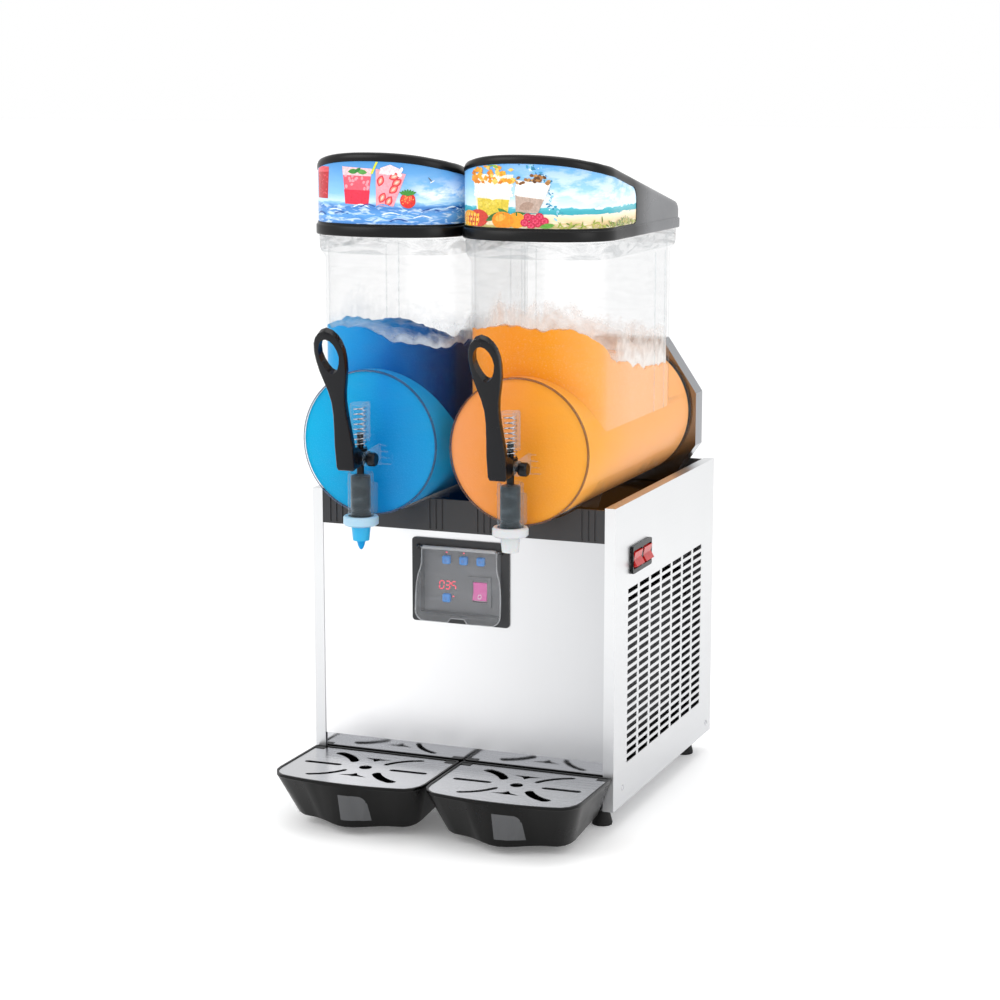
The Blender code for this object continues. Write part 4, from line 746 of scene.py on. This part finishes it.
springLow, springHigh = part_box("valve_spring_right")
coil = {"low": springLow.z, "high": springHigh.z, "radius": 0.0075, "wire": 0.0008, "turns": 8}
bowlMeshMade = bowlMesh()
tapBody = tapBodyMesh()
tubeMade = slushTube()
wire = coilMesh(coil)
s = bowlShape
edgeRing = turned([(s["radius"] - 0.0022, s["front"] - 0.0002), (s["radius"] - 0.0006, s["front"] + 0.0002),
                   (s["radius"] + 0.0002, s["front"] + 0.0016), (s["radius"] - 0.0010, s["front"] + 0.0016)], 128,
                   "Y", (0, 0, axisZ))
rimFoot, bandOut = s["rimTop"] - s["rimTall"], -s["rimOut"] - 0.0003
rimBand = loft(planRings([(-s["rimOut"] * 0.78, rimFoot + 0.002), (bandOut, rimFoot + 0.008),
                          (bandOut, s["rimTop"] - 0.0012)]), cap=False)
for word, side in sides.items():
    at = (side * bowlX, frontY, 0)
    body = "bowl_body_" + word
    bowl = pieceFromMesh("bowl_shell_" + word, bowlMeshMade.copy(), clearBowl, body, 40, at)
    pieceFromMesh("tap_body_" + word, tapBody.copy(), clearTap, body, 40, at)
    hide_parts("bowl_" + word)
    slush = slushBlue if side < 0 else slushOrange
    inner = slushBlueFront if side < 0 else slushOrangeFront
    pieceFromMesh("slush_fill_" + word, slushColumn(side), slush, body, 60, at)
    pieceFromMesh("slush_round_" + word, tubeMade.copy(), inner, body, 50, at)
    pieceFromMesh("frost_" + word, frostMesh(side), frostBlue if side < 0 else frostPeach, body, 0, at)
    pieceFromMesh("bowl_edge_" + word, edgeRing.copy(), edgeBlue if side < 0 else edgeAmber, body, 60, at)
    pieceFromMesh("rim_band_" + word, rimBand.copy(), clearRim, body, 60, at)
    wallX, ribX, ribWide = s["hopperHalf"], s["hopperHalf"] + 0.0010, 0.0022
    ribs = [prismMesh([(part * wallX, y), (part * ribX, y), (part * ribX, y + ribWide), (part * wallX, y + ribWide)],
                      axisZ + 0.02, rimFoot - 0.004, "Z") for part in (-1, 1) for y in (0.190, 0.229)]
    pieceFromMesh("hopper_ribs_" + word, joined(ribs), clearTap, body, 30, at)
    spring = pieceFromMesh("spring_" + word, wire.copy(), springSteel, body, 60, at)
    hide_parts("valve_spring_" + word)
    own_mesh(spring)
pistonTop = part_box("valve_piston_right")[1].z
base, reach = tapShape["base"], tapShape["bore"] - 0.0004
profile = [(0.0, base + 0.001), (reach - 0.0006, base + 0.001), (reach, base + 0.0016), (reach, base + 0.0125),
           (reach - 0.0012, base + 0.0135),
           (reach - 0.0012, base + 0.0165), (reach, base + 0.0175), (reach, base + 0.0555),
           (reach - 0.0008, base + 0.0575),
           (reach - 0.004, base + 0.0585), (0.0045, base + 0.0595), (0.0045, pinZ + 0.0073), (0.0088, pinZ + 0.0073),
           (0.0088, pinZ + 0.0101), (0.0040, pinZ + 0.0103), (0.0040, pistonTop - 0.0005), (0.0034, pistonTop),
           (0.0, pistonTop)]
pistonMade = turned(profile, 48, "Z", (0, tapShape["y"], 0), closed=False)
for word, side in sides.items():
    piston = pieceFromMesh("piston_" + word, pistonMade.copy(), blackAbs, "piston_body_" + word, 35,
                           (side * bowlX, frontY, 0))
    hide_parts("valve_piston_" + word)
drop = turned([(0.0, -0.0120), (0.0022, -0.0105), (0.0038, -0.0070), (0.0052, -0.0020), (0.0080, 0.0006),
               (0.0, 0.0008)], 24, "Z",
              (0, tapShape["y"], tapShape["base"] - 0.0215), closed=False)
pieceFromMesh("slush_drop", drop, slushBlueFront, "bowl_body_left", 60, (-bowlX, frontY, 0))
print("bowls filled")


lidShape = {
    "half": (lidHigh.x - lidLow.x) / 2, "front": lidLow.y - frontY, "rear": lidHigh.y - frontY, "low": lidLow.z,
    "tall": lidHigh.z - lidLow.z,
    "wall": 0.003, "band": 0.0150, "proud": 0.0018, "windowEnd": 0.0955, "margin": 0.0120,
    "filmSpan": (0.4, 0.1), "columnBias": 0.999}


def lidTop(y):
    # the top falls in a long arch from its front edge, and turns down at its rear edge
    s = lidShape
    knots = [(-1, 1.000), (s["front"], 1.000), (-0.020, 0.915), (0.000, 0.865), (0.020, 0.830),
             (s["rear"] - 0.014, 0.330), (s["rear"], 0.230)]
    for (ya, fa), (yb, fb) in zip(knots, knots[1:]):
        if y <= yb:
            return s["low"] + s["tall"] * (fa + (fb - fa) * (y - ya) / (yb - ya))
    return s["low"] + s["tall"] * knots[-1][1]


def windowSpan(y, grow=0.0):
    # lowest and highest point of the picture window at this depth, with its rounded rear corners
    s = lidShape
    left = max(0.0, s["windowEnd"] + grow - y)
    drop = 0.013 * (1 - math.sqrt(1 - max(0.0, 1 - left / 0.013) ** 2))
    lift = 0.009 * (1 - math.sqrt(1 - max(0.0, 1 - left / 0.009) ** 2))
    return s["low"] + s["band"] - grow + lift, lidTop(y) - s["margin"] + grow - drop


def lidRing(inset, height):
    s = lidShape
    ring = mirrored(planHalf(s["half"] - inset, s["front"] + inset, s["rear"] - inset, 0.014 - min(inset, 0.008)))
    return [(x, y, height(y) if callable(height) else height) for x, y in ring]


def lidBody(rows):
    # rings one over another, closed above and below by strips from side to side
    rings = [lidRing(*row) for row in rows]
    verts, faces, count = ringFaces(rings)
    half = count // 2 + 1
    for start in (0, (len(rings) - 1) * count):
        for k in range(half - 1):
            a, b = (count - k) % count, count - k - 1
            face = [start + k, start + k + 1, start + b, start + a]
            faces.append(tuple(dict.fromkeys(face)))
    return meshFrom(verts, faces)


def lidFrameMesh():
    s = lidShape
    p, low, band = s["proud"], s["low"], s["band"]
    rows = [(-p + 0.0008, low), (-p, low + 0.0010), (-p, low + band - 0.0042), (-p + 0.0006, low + band - 0.0030),
            (0, low + band - 0.0022)]
    rows += [(i, lambda y, d=d: lidTop(y) - d) for i, d in
             ((0, 0.0090), (0.0004, 0.0062), (0.0014, 0.0036), (0.0030, 0.0016), (0.0052, 0.0004), (0.0080, 0.0))]
    outer = lidBody(rows)
    inner = lidBody([(s["wall"], low - 0.01)] + [(s["wall"] + i, lambda y, d=d: lidTop(y) - d) for i,
                                                 d in ((0, 0.010), (0.003, 0.003))])
    depths = [-0.08 + (s["windowEnd"] + 0.08) * math.sin(math.pi / 2 * k / 40) for k in range(41)]
    outline = [(y, windowSpan(y)[0]) for y in depths] + [(y, windowSpan(y)[1]) for y in depths[::-1]]
    window = prismMesh(outline, -0.2, 0.2, "X")
    return boolean(outer, [inner, window], "DIFFERENCE")


def wrapTable(inset):
    # distance round the lid from its front middle, with the place there
    s = lidShape
    half = planHalf(s["half"] - inset, s["front"] + inset, s["rear"] - inset, 0.014, 60)
    run, table = 0.0, [(0.0, *half[0])]
    for (x0, y0), (x1, y1) in zip(half, half[1:]):
        run += math.hypot(x1 - x0, y1 - y0)
        table.append((run, x1, y1))
    return np.array(table)


wrap = wrapTable(0.0009)


def onLid(u, v, lift=0.0):
    # u metres round from the front middle, v metres up from the window's lower edge, lift metres outward
    far = abs(u)
    x, y = np.interp(far, wrap[:, 0], wrap[:, 1]), np.interp(far, wrap[:, 0], wrap[:, 2])
    x2, y2 = np.interp(far + 0.001, wrap[:, 0], wrap[:, 1]), np.interp(far + 0.001, wrap[:, 0], wrap[:, 2])
    nx, ny = (y2 - y), -(x2 - x)
    size = math.hypot(nx, ny) or 1
    sign = -1 if u < 0 else 1
    return sign * (x + nx / size * lift), y + ny / size * lift, lidShape["low"] + lidShape["band"] + v


wrapEnd = float(np.interp(lidShape["windowEnd"] - 0.0003, wrap[20:, 2], wrap[20:, 0]))


def panelMesh():
    # the picture film: one curved sheet round the front and both sides, with its distances kept as UV
    columns, rows, thick = 150, 20, 0.0016
    verts, faces = [], []
    for layer in (0.0, -thick):
        for i in range(columns + 1):
            u = -wrapEnd + 2 * wrapEnd * i / columns
            reach = wrapEnd * math.sin(math.pi / 2 * abs(u) / wrapEnd) ** lidShape["columnBias"]
            u = math.copysign(reach, u) if abs(u) > 1e-9 else 0.0
            y = onLid(u, 0)[1]
            low, high = windowSpan(y, -0.0003)
            base = lidShape["low"] + lidShape["band"]
            for j in range(rows + 1):
                verts.append(onLid(u, low - base + (high - low) * j / rows, layer))
    step = rows + 1
    count = (columns + 1) * step
    for layer in (0, count):
        for i in range(columns):
            for j in range(rows):
                a = layer + i * step + j
                faces.append((a, a + step, a + step + 1, a + 1))
    edge = [i * step for i in range(columns)] + [columns * step + j for j in range(rows)]
    edge += [i * step + rows for i in range(columns, 0, -1)] + [j for j in range(rows, 0, -1)]
    for a, b in zip(edge, edge[1:] + edge[:1]):
        faces.append((a, b, b + count, a + count))
    mesh = bpy.data.meshes.new("made")
    mesh.from_pydata(verts, [], faces)
    mesh.validate()
    bm = bmesh.new()
    bm.from_mesh(mesh)
    bmesh.ops.recalc_face_normals(bm, faces=bm.faces)
    layer = bm.loops.layers.uv.new("round_the_lid")
    span, rise = lidShape["filmSpan"]
    for face in bm.faces:
        for corner in face.loops:
            x, y, z = corner.vert.co
            if y > bowlShape["straight"]:
                far = float(np.interp(y, wrap[20:, 2], wrap[20:, 0]))
            else:
                far = float(np.interp(abs(x), wrap[:62, 1], wrap[:62, 0]))
            corner[layer].uv = (math.copysign(far, x) / span + 0.5, (z - lidShape["low"] - lidShape["band"]) / rise)
    return finished(bm, mesh)


def turnedBy(degrees, cu, cv, points):
    c, s = math.cos(math.radians(degrees)), math.sin(math.radians(degrees))
    return [(cu + u * c - v * s, cv + u * s + v * c) for u, v in points]


def oval(cu, cv, ru, rv, turn=0, steps=20, dent=0.0, seed=0):
    rng = random.Random(seed)
    points = []
    for k in range(steps):
        a = 2 * math.pi * k / steps
        r = 1 - dent * rng.random()
        points.append((ru * r * math.cos(a), rv * r * math.sin(a)))
    return turnedBy(turn, cu, cv, points)


def leaf(cu, cv, length, width, turn):
    side = [(length * (k / 8 - 0.5), width / 2 * math.sin(math.pi * k / 8) ** 0.8) for k in range(9)]
    shape = side + [(u, -v) for u, v in side[7:0:-1]]
    return turnedBy(turn, cu, cv, shape)


def printsMesh(prints):
    # printed patches in millimetres round and up the lid, laid on the film one over another
    bm = bmesh.new()
    inks = bm.loops.layers.float_color.new("ink")
    base = lidShape["low"] + lidShape["band"]
    for order, (outline, colour) in enumerate(prints):
        part = bmesh.new()
        part.faces.new([part.verts.new((u / 1000, v / 1000, 0)) for u, v in outline])
        bmesh.ops.triangulate(part, faces=part.faces)
        for k in range(-24, 25):
            bmesh.ops.bisect_plane(part, geom=part.verts[:] + part.edges[:] + part.faces[:],
                                   plane_co=(k * 0.004, 0, 0), plane_no=(1, 0, 0))
        lift = 0.00012 + 0.000018 * order * 60 / max(60, len(prints))
        ink = linear(colour)
        for face in part.faces:
            corners = []
            for vert in face.verts:
                low, high = windowSpan(onLid(vert.co.x, 0)[1], -0.0008)
                corners.append(bm.verts.new(onLid(vert.co.x, min(max(vert.co.y, low - base), high - base), lift)))
            try:
                made = bm.faces.new(corners)
            except ValueError:
                continue
            for corner in made.loops:
                corner[inks] = ink
        part.free()
    bmesh.ops.recalc_face_normals(bm, faces=bm.faces)
    for face in bm.faces:
        middle = face.calc_center_median()
        if face.normal.dot(Vector((middle.x, middle.y - 0.12, 0))) < 0:
            face.normal_flip()
    return finished(bm)


def scattered(rng, count, zone, size, colour, turns=0, steps=20):
    # small ovals at random places in a zone of (left, width, low, height), turned at random if turns is set
    left, width, low, height = zone
    return [(oval(left + rng.random() * width, low + rng.random() * height, *size,
                  rng.random() * turns if turns else 0, steps), colour) for k in range(count)]


def seaPrints():
    rng = random.Random(5)
    out = []
    out += [([(-92, 29), (-64, 29), (-61, 67), (-92, 68)], "#B81C28"),
            ([(-92, 60), (-61.5, 61), (-61, 67), (-92, 68)], "#D8505A")]
    out += scattered(rng, 26, (-90, 26, 32, 26), (1.4, 1.0), "#D84854")
    out += [([(-33, 24), (-3, 23), (3, 66), (-38, 68)], "#EE5A6C"),
            ([(-34, 24), (-2, 23), (0, 40), (-35.5, 41)], "#E82A48"),
            ([(-37, 58), (2, 57), (3, 66), (-38, 68)], "#F7C6CC")]
    out += scattered(rng, 18, (-34, 32, 42, 16), (2.2, 1.6), "#F59AA6", 90, 10)
    out += [(leaf(-22, 62.5, 15, 6, 4), "#3F8A3A"), (leaf(-10, 62, 14, 6, -6), "#57A04A"),
            (leaf(-16, 64, 10, 4, 30), "#2F7A34")]
    out += [([(1, 60), (4, 60), (11, 75), (8.5, 75)], "#D8DC2C")]
    out += [([(8, 22), (30, 22), (45, 60), (8, 66)], "#EFA0AC"),
            ([(12, 60), (40, 58), (38, 66), (26, 71), (14, 67)], "#F6D8DC")]
    for cu, cv, turn in ((14, 52, 70), (16, 32, 60), (31, 57, 20), (30, 42, 40), (24, 28, 60), (34, 50, 30)):
        out += [(leaf(cu, cv, 14, 9, turn), "#D83040"), (leaf(cu, cv, 10, 5.5, turn), "#F08A78"),
                (leaf(cu, cv, 6, 2.4, turn), "#F8D0C0")]
    out += scattered(rng, 10, (20, 20, 58, 9), (2.4, 1.8), "#FBEDEE", 90, 8)
    out += [(oval(47, 29, 9.5, 9.5, 0, 22, 0.05, 2), "#D92A22"), (oval(46, 31, 6, 5.5, 0, 18), "#EE4A38")]
    out += scattered(rng, 16, (40, 14, 22, 13), (0.6, 0.8), "#F6B060")
    out += [(leaf(47 + k * 2.0, 38.5 + abs(k) * -0.4, 9, 3, 90 - k * 22), "#3C8C34") for k in range(-3, 4)]
    for k in range(22):                             # crests across the water
        u0, v0 = -90 + k * 9.5, 4 + 17 * rng.random()
        arch = 2 + 2.5 * rng.random()
        top = [(u0 + 24 * j / 8, v0 + arch * math.sin(math.pi * j / 8)) for j in range(9)]
        low = [(u, v - 0.9 - 0.9 * rng.random()) for u, v in top[1:8][::-1]]
        out.append((top + low, ("#1D4F9C", "#9CCBF2", "#5F9FE0", "#E4F2FC")[k % 4]))
    out += [(oval(76, 51, 3.4, 0.8, 28, 8), "#E8EEF4"), (oval(73.5, 53.5, 3.6, 0.7, -50, 8), "#5A6472")]
    return out


def beachPrints():
    rng = random.Random(9)
    out = []
    for k in range(90):                             # thrown water in a broad crescent
        t = k / 89
        u = -8 + 62 * t + 9 * math.sin(t * 5) + rng.uniform(-5, 5)
        v = 79 - 62 * t ** 1.4 + rng.uniform(-6, 6)
        out.append((oval(u, v, 0.6 + 2.6 * rng.random(), 0.5 + 0.9 * rng.random(), rng.uniform(-80, 30), 8),
                    ("#3F97B8", "#8CCBE0", "#2B7FA4", "#D4EEF6")[k % 4]))
    out += [([(-62, 14), (-18, 14), (-10, 62), (-70, 62)], "#EDE7D4"),
            ([(-62, 14), (-18, 14), (-15.5, 33), (-64.5, 34)], "#D8C03A"),
            ([(-65, 34), (-50, 36), (-38, 32), (-28, 35), (-15, 33), (-12, 52), (-68, 52)], "#F4F0E4")]
    out += scattered(rng, 12, (-60, 44, 18, 14), (3.4, 1.6), "#E2CC52", 0, 10)
    out += scattered(rng, 14, (-66, 54, 36, 14), (3.0, 2.0), "#FBF8EE", 0, 10)
    for k in range(60):                             # cubes of fruit heaped on the cream
        u = -71 + 62 * rng.random()
        crown = 76 - 0.010 * (u + 40) ** 2
        v = 52 + (crown - 52) * rng.random()
        w, h, t = 2.6 + 2.4 * rng.random(), 2.0 + 1.6 * rng.random(), rng.uniform(-40, 40)
        out.append((oval(u, v, w, h, t, 4), ("#E8921C", "#F2AE2E", "#D67A14", "#F8C860", "#E89A24")[k % 5]))
    out += [(leaf(-40, 73, 12, 4, 12), "#6E9A34"), (leaf(-34, 71, 9, 3, -20), "#88AE46")]
    out += [([(-7, 19), (20, 18), (34, 48), (-8, 50)], "#B9A294"),
            ([(-9, 38), (28, 34), (35, 52), (-6, 56)], "#F3EEE8"),
            (oval(6, 26, 10, 5, 10, 16, 0.2, 4), "#A88C7C")]
    for k in range(22):
        u = -6 + 40 * rng.random()
        out.append((oval(u, 53 + 9 * rng.random() - 0.006 * (u - 12) ** 2, 3.0, 2.0, rng.uniform(-40, 40), 7, 0.2, k),
                    ("#A4713A", "#7E4E22", "#BE8C50", "#5E3A1C")[k % 4]))
    out += [(oval(-62, 10, 18, 10.5, 6, 24), "#C83A2A"), (oval(-76, 9.5, 18, 9.5, -4, 24), "#F0A018")]
    out += [(oval(-88 + 6.2 * i + 1.5 * j, 3.2 + 5.4 * j, 2.5, 2.1, 45, 4),
             ("#F8BE36", "#FAD060")[(i + j) % 2]) for i in range(5) for j in range(3)]
    out += [(leaf(-36, 13, 26, 7, 24), "#2F6A2E"), (leaf(-22, 18, 20, 6, -28), "#3F7E36"),
            (leaf(-4, 17, 18, 5, 4), "#356F30")]
    out += [(oval(-6, 9.5, 11, 9, 0, 22), "#F29A1E"), (oval(-24, 9, 14.5, 10, 0, 26), "#F08A14"),
            (oval(-27, 12, 7, 4, 20, 16), "#F8AC40"),
            (oval(-23, 16.6, 1.4, 0.7), "#5E7A28")]
    for cu, cv in ((4, 7), (12, 4), (20, 6.5), (28, 9), (14, 12), (22, 14), (8, 13.5), (17, 9)):
        out += [(oval(cu, cv, 5.2, 4.6, 0, 14), "#C01E44")]
        out += [(oval(cu + 2.6 * math.cos(a), cv + 2.2 * math.sin(a), 1.25, 1.1, 0, 8), "#E0486A")
                for a in (0.4, 1.5, 2.6, 3.7, 4.8, 5.8)]
    out += [(leaf(31, 3.5, 18, 6, 8), "#5E9E38")]
    for k in range(80):                             # low plants on the sand
        u = 44 + 152 * rng.random()
        tall = 5 + 5 * math.sin(u * 0.05) ** 2
        out.append((leaf(u, 0.5 + tall * rng.random(), 5 + 4 * rng.random(), 1.6, rng.uniform(10, 170)),
                    ("#7C9630", "#96A83E", "#5E7C26", "#B0B456")[k % 4]))
    out += [([(86, 24.5), (101, 24.5), (98, 22.3), (88, 22.3)], "#F4F6F8"),
            ([(90, 24.5), (97, 24.5), (95, 27), (91, 27)], "#DCE6EE")]
    return out


lidFrame = lidFrameMesh()
panel = panelMesh()
for word, side in sides.items():
    at = (side * bowlX, frontY, 0)
    body = "lid_body_" + word
    cover = pieceFromMesh("lid_cover_" + word, lidFrame.copy(), lidAbs, body, 38, at)
    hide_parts("lid_frame_" + word)
    film = pieceFromMesh("lid_film_" + word, panel.copy(), filmSea if side < 0 else filmBeach, body, 50,
                         at)
    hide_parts("lid_picture_" + word)
    pieceFromMesh("lid_print_" + word, printsMesh(seaPrints() if side < 0 else beachPrints()), filmInk, body,
                  0, at)
print("lids printed")


plateShape = {
    "face": plateLow.y + 0.0025 - frontY, "digit": (0.0056, 0.0098), "segment": 0.0011, "digitPitch": 0.0080,
    "slant": 0.10, "display": (-0.0215, -0.0600), "led": (0.0010, 0.0007)}
middleX = (plateLow.x + plateHigh.x) / 2
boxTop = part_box("control_bezel")[1].z


def plateMark(name, outlines, material, deep):
    # shallow lit marks on the front of the control plate
    face = plateShape["face"]
    parts = [prismMesh(outline, face - deep, face + 0.0001, "Y") for outline in outlines]
    return pieceFromMesh(name, joined(parts), material, "cabinet", 30, (0, frontY, 0))


def digitBars(x, z, lit):
    # bars of one seven-bar digit that are lit, leaning a little to the right
    w, h = plateShape["digit"]
    t, slant = plateShape["segment"] / 2, plateShape["slant"]
    spots = {"a": (0, h / 2, 1), "d": (0, -h / 2, 1), "g": (0, 0, 1), "f": (-w / 2, h / 4, 0), "b": (w / 2, h / 4, 0),
             "e": (-w / 2, -h / 4, 0), "c": (w / 2, -h / 4, 0)}
    bars = []
    for key in lit:
        dx, dz, flat = spots[key]
        u, v = (w / 2 - t * 1.3, t) if flat else (t, h / 4 - t * 1.3)
        bars.append([(x + dx + p * u + slant * (dz + q * v), z + dz + q * v) for p,
                     q in ((-1, -1), (1, -1), (1, 1), (-1, 1))])
    return bars


displayX, displayZ = middleX + plateShape["display"][0], boxTop + plateShape["display"][1]
lit = []
for k, keys in enumerate(("abcdef", "abcdg", "afgc")):
    lit += digitBars(displayX + (k - 1) * plateShape["digitPitch"], displayZ, keys)
plateMark("display_digits", lit, redLed, 0.0004)
keyLow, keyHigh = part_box("button_a")
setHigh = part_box("button_set")[1]
ledW, ledH = plateShape["led"]
leds = [roundedBox(x - ledW, x + ledW, z - ledH, z + ledH, 0.0005, 3) for x, z in
        (((keyLow.x + keyHigh.x) / 2, keyHigh.z + 0.0040), (middleX, keyHigh.z + 0.0042),
         (setHigh.x + 0.0035, setHigh.z - 0.0030))]
plateMark("status_leds", leds, redLed, 0.0006)

keyMarks = {                                     # bars as (left, right, low, high) in tenths of a millimetre
    "button_a": [(-18, 18, -16, -10), (-12, 12, -3, 3), (-6, 6, 10, 16)],
    "button_b": [(-18, 18, -16, -10), (-18, 18, -3, 3), (-18, 18, 10, 16)],
    "button_c": [(-17, -11, -16, 16), (-3, 3, -16, 16), (11, 17, -16, 16)],
    "button_set": [(-15, 15, 9, 15), (-15, 15, -15, -9), (-15, -9, -9, 9), (9, 15, -9, 9)]}
for name, bars in keyMarks.items():
    low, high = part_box(name)
    cx, cz = (low.x + high.x) / 2, (low.z + high.z) / 2
    parts = []
    for bar in bars:
        left, right, under, over = (value / 10000 for value in bar)
        outline = [(cx + left, cz + under), (cx + right, cz + under), (cx + right, cz + over), (cx + left, cz + over)]
        parts.append(prismMesh(outline, low.y - 0.00015, low.y + 0.0004, "Y"))
    pieceFromMesh("mark_" + name, joined(parts), keyInk, name + "_body", 30)


def surfaceTree(nodeName):
    data = nodes[nodeName].data
    return BVHTree.FromPolygons([v.co.copy() for v in data.vertices], [tuple(p.vertices) for p in data.polygons])


def cast(tree, x, z, lift):
    # the point of a surface that faces forward at this place, raised a little off it
    hit = tree.ray_cast(Vector((x, -1.0, z)), Vector((0, 1, 0)))
    return None if hit[0] is None else hit[0] + hit[1] * (lift if hit[1].y < 0 else -lift)


rockerMark = {"inner": 0.0019, "outer": 0.0025, "down": 0.0058, "steps": 24, "lift": 0.00012}
low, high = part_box("control_rocker")
cx, cz = (low.x + high.x) / 2, (low.z + high.z) / 2
rockerFace = surfaceTree("control_rocker")
verts, faces = [], []
for k in range(rockerMark["steps"]):
    turn = 2 * math.pi * k / rockerMark["steps"]
    for radius in (rockerMark["inner"], rockerMark["outer"]):
        x, z = cx + radius * math.cos(turn), cz - rockerMark["down"] + radius * 1.1 * math.sin(turn)
        verts.append(cast(rockerFace, x, z, rockerMark["lift"]))
    n = (k + 1) % rockerMark["steps"]
    faces.append((2 * k, 2 * n, 2 * n + 1, 2 * k + 1))
pieceFromMesh("rocker_mark", meshFrom(verts, faces), whiteInk, "control_rocker_body", 0)


flapShape = {"half": 0.0500, "long": 0.0915, "edge": 0.0007, "thick": 0.0013, "tilt": -4.5, "bar": 0.0023,
             "hinge": (-0.0042, 0.0110)}
hingeY, hingeZ = flapShape["hinge"][0], boxTop - flapShape["hinge"][1]
flapHalf, flapLong = flapShape["half"], flapShape["long"]
corner = 0.012
flare = [(flapHalf + wider, down) for wider, down in
         ((0.0, 0.0), (0.0, 0.020), (0.0015, 0.027), (0.004, 0.034), (0.0058, 0.046), (0.0065, 0.060),
          (0.0065, flapLong - corner))]
flare += [(flapHalf - 0.0055 + corner * math.cos(math.radians(a)),
           flapLong - corner + corner * math.sin(math.radians(a)))
          for a in (20, 45, 70, 90)]
flare += [(0.013, flapLong), (0.009, flapLong - 0.0055), (0.0, flapLong - 0.0055)]
tilt = math.radians(flapShape["tilt"])
edges = []
for part in (-1, 1):
    rings = []
    for k, (u0, v0) in enumerate(flare):
        u1, v1 = u0 - flapShape["edge"] * (k < 9), v0 - flapShape["edge"] * (k > 7)
        w0 = flapShape["thick"]
        rings.append([(part * u, hingeY + w * math.cos(tilt) + v * math.sin(tilt),
                       hingeZ - v * math.cos(tilt) + w * math.sin(tilt))
                      for u, v, w in ((u0, v0, -w0), (u1, v1, -w0), (u1, v1, w0), (u0, v0, w0))])
    edges.append(loft(rings))
barEnd = flapHalf - 0.002
barProfile = [(0.0, -barEnd), (flapShape["bar"], -barEnd), (flapShape["bar"], barEnd), (0.0, barEnd)]
edges.append(turned(barProfile, 20, "X", (0, hingeY, hingeZ), closed=False))
pieceFromMesh("flap_edges", joined(edges), flapEdge, "flap_body", 40, (0, frontY, 0))


labelShape = {"low": (-0.003, 0.033), "height": (0.0215, 0.0555), "steps": 18, "corner": 0.010}
for word, side in sides.items():
    tree = surfaceTree("drip_tray_" + word)
    low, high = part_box("drip_tray_" + word)
    mid = (low.x + high.x) / 2
    n = labelShape["steps"]
    (x0, x1), (z0, z1) = labelShape["low"], labelShape["height"]
    verts, faces, index = [], [], {}
    for i in range(n + 1):
        for j in range(n + 1):
            x = x0 + (x1 - x0) * i / n
            top = z1
            if x > x1 - labelShape["corner"]:        # arched upper corner
                off = (x - (x1 - labelShape["corner"])) / labelShape["corner"]
                top = z1 - labelShape["corner"] * (1 - math.sqrt(max(0, 1 - off * off)))
            spot = cast(tree, mid + x, z0 + (top - z0) * j / n, 0.0003)
            if spot is not None:
                index[i, j] = len(verts)
                verts.append(spot)
    for i in range(n):
        for j in range(n):
            corners = [index.get(key) for key in ((i, j), (i + 1, j), (i + 1, j + 1), (i, j + 1))]
            if None not in corners:
                faces.append(tuple(corners))
    pieceFromMesh("tray_label_" + word, meshFrom(verts, faces), labelFilm, "tray_body_" + word, 40)


screwShape = {"radius": 0.0038, "proud": 0.0016, "places": ((0.035, 0.049), (0.383, 0.041))}
for word, side in sides.items():
    r, p = screwShape["radius"], screwShape["proud"]
    profile = [(0.0, p * 0.62), (0.0014, p * 0.62), (0.0016, p), (r * 0.55, p * 0.92), (r * 0.85, p * 0.55),
               (r, 0.0), (0.0, 0.0)]
    heads = [turned([(radius, side * height) for radius, height in profile], 24, "X",
                    (side * halfWidth, frontY + y, z), closed=False)
             for y, z in screwShape["places"]]
    pieceFromMesh("panel_screws_" + word, joined(heads), steelMirror, "cabinet", 40)
print("small details added")


# white studio floor: matt enough to show no reflection, lit a little by itself so that it meets the backdrop
floorMaterial, floorTree, floorShader, floorPlace = newMaterial("studio_floor", "#FCFCFC", 0.0, 0.6)
floorShader.inputs["Specular IOR Level"].default_value = 0.2
floorShader.inputs["Emission Strength"].default_value = 0.12
floorShader.inputs["Emission Color"].default_value = linear("#FFFFFF")
floorNoise = addNode(floorTree, "TexNoise", {"Scale": 3.0, "Detail": 2.0}, {"Vector": floorPlace})
floorRough = addNode(floorTree, "MapRange", {1: 0.3, 2: 0.7, 3: 0.55, 4: 0.65}, {0: floorNoise})
connect(floorShader, {"Roughness": floorRough})
floor = pieceFromMesh("studio_floor", meshFrom([(-30, -30, -0.0002), (30, -30, -0.0002), (30, 30, -0.0002),
                                                (-30, 30, -0.0002)],
                                               [(0, 1, 2, 3)]), floorMaterial, None, 0)

world = bpy.data.worlds.new("studio")
scene.world = world
world.use_nodes = True
backdrop = world.node_tree.nodes["Background"]
backdrop.inputs["Color"].default_value = linear("#FFFFFF")
backdrop.inputs["Strength"].default_value = 1.0

lights = {
    "key_left": ((-1.9, -2.2, 2.3), (0, 0, 0.45), 1.8, 24),
    "fill_right": ((2.4, -1.4, 1.7), (0, 0, 0.40), 1.6, 12),
    "top_soft": ((0.1, 0.2, 2.6), (0, 0, 0.40), 1.8, 16)}
for name, (spot, target, size, power) in lights.items():
    data = bpy.data.lights.new(name, "AREA")
    data.shape = "SQUARE"
    data.size = size
    data.energy = power
    lamp = bpy.data.objects.new(name, data)
    scene.collection.objects.link(lamp)
    lamp.location = spot
    lamp.rotation_euler = (Vector(target) - Vector(spot)).to_track_quat("-Z", "Y").to_euler()
print("lights set")
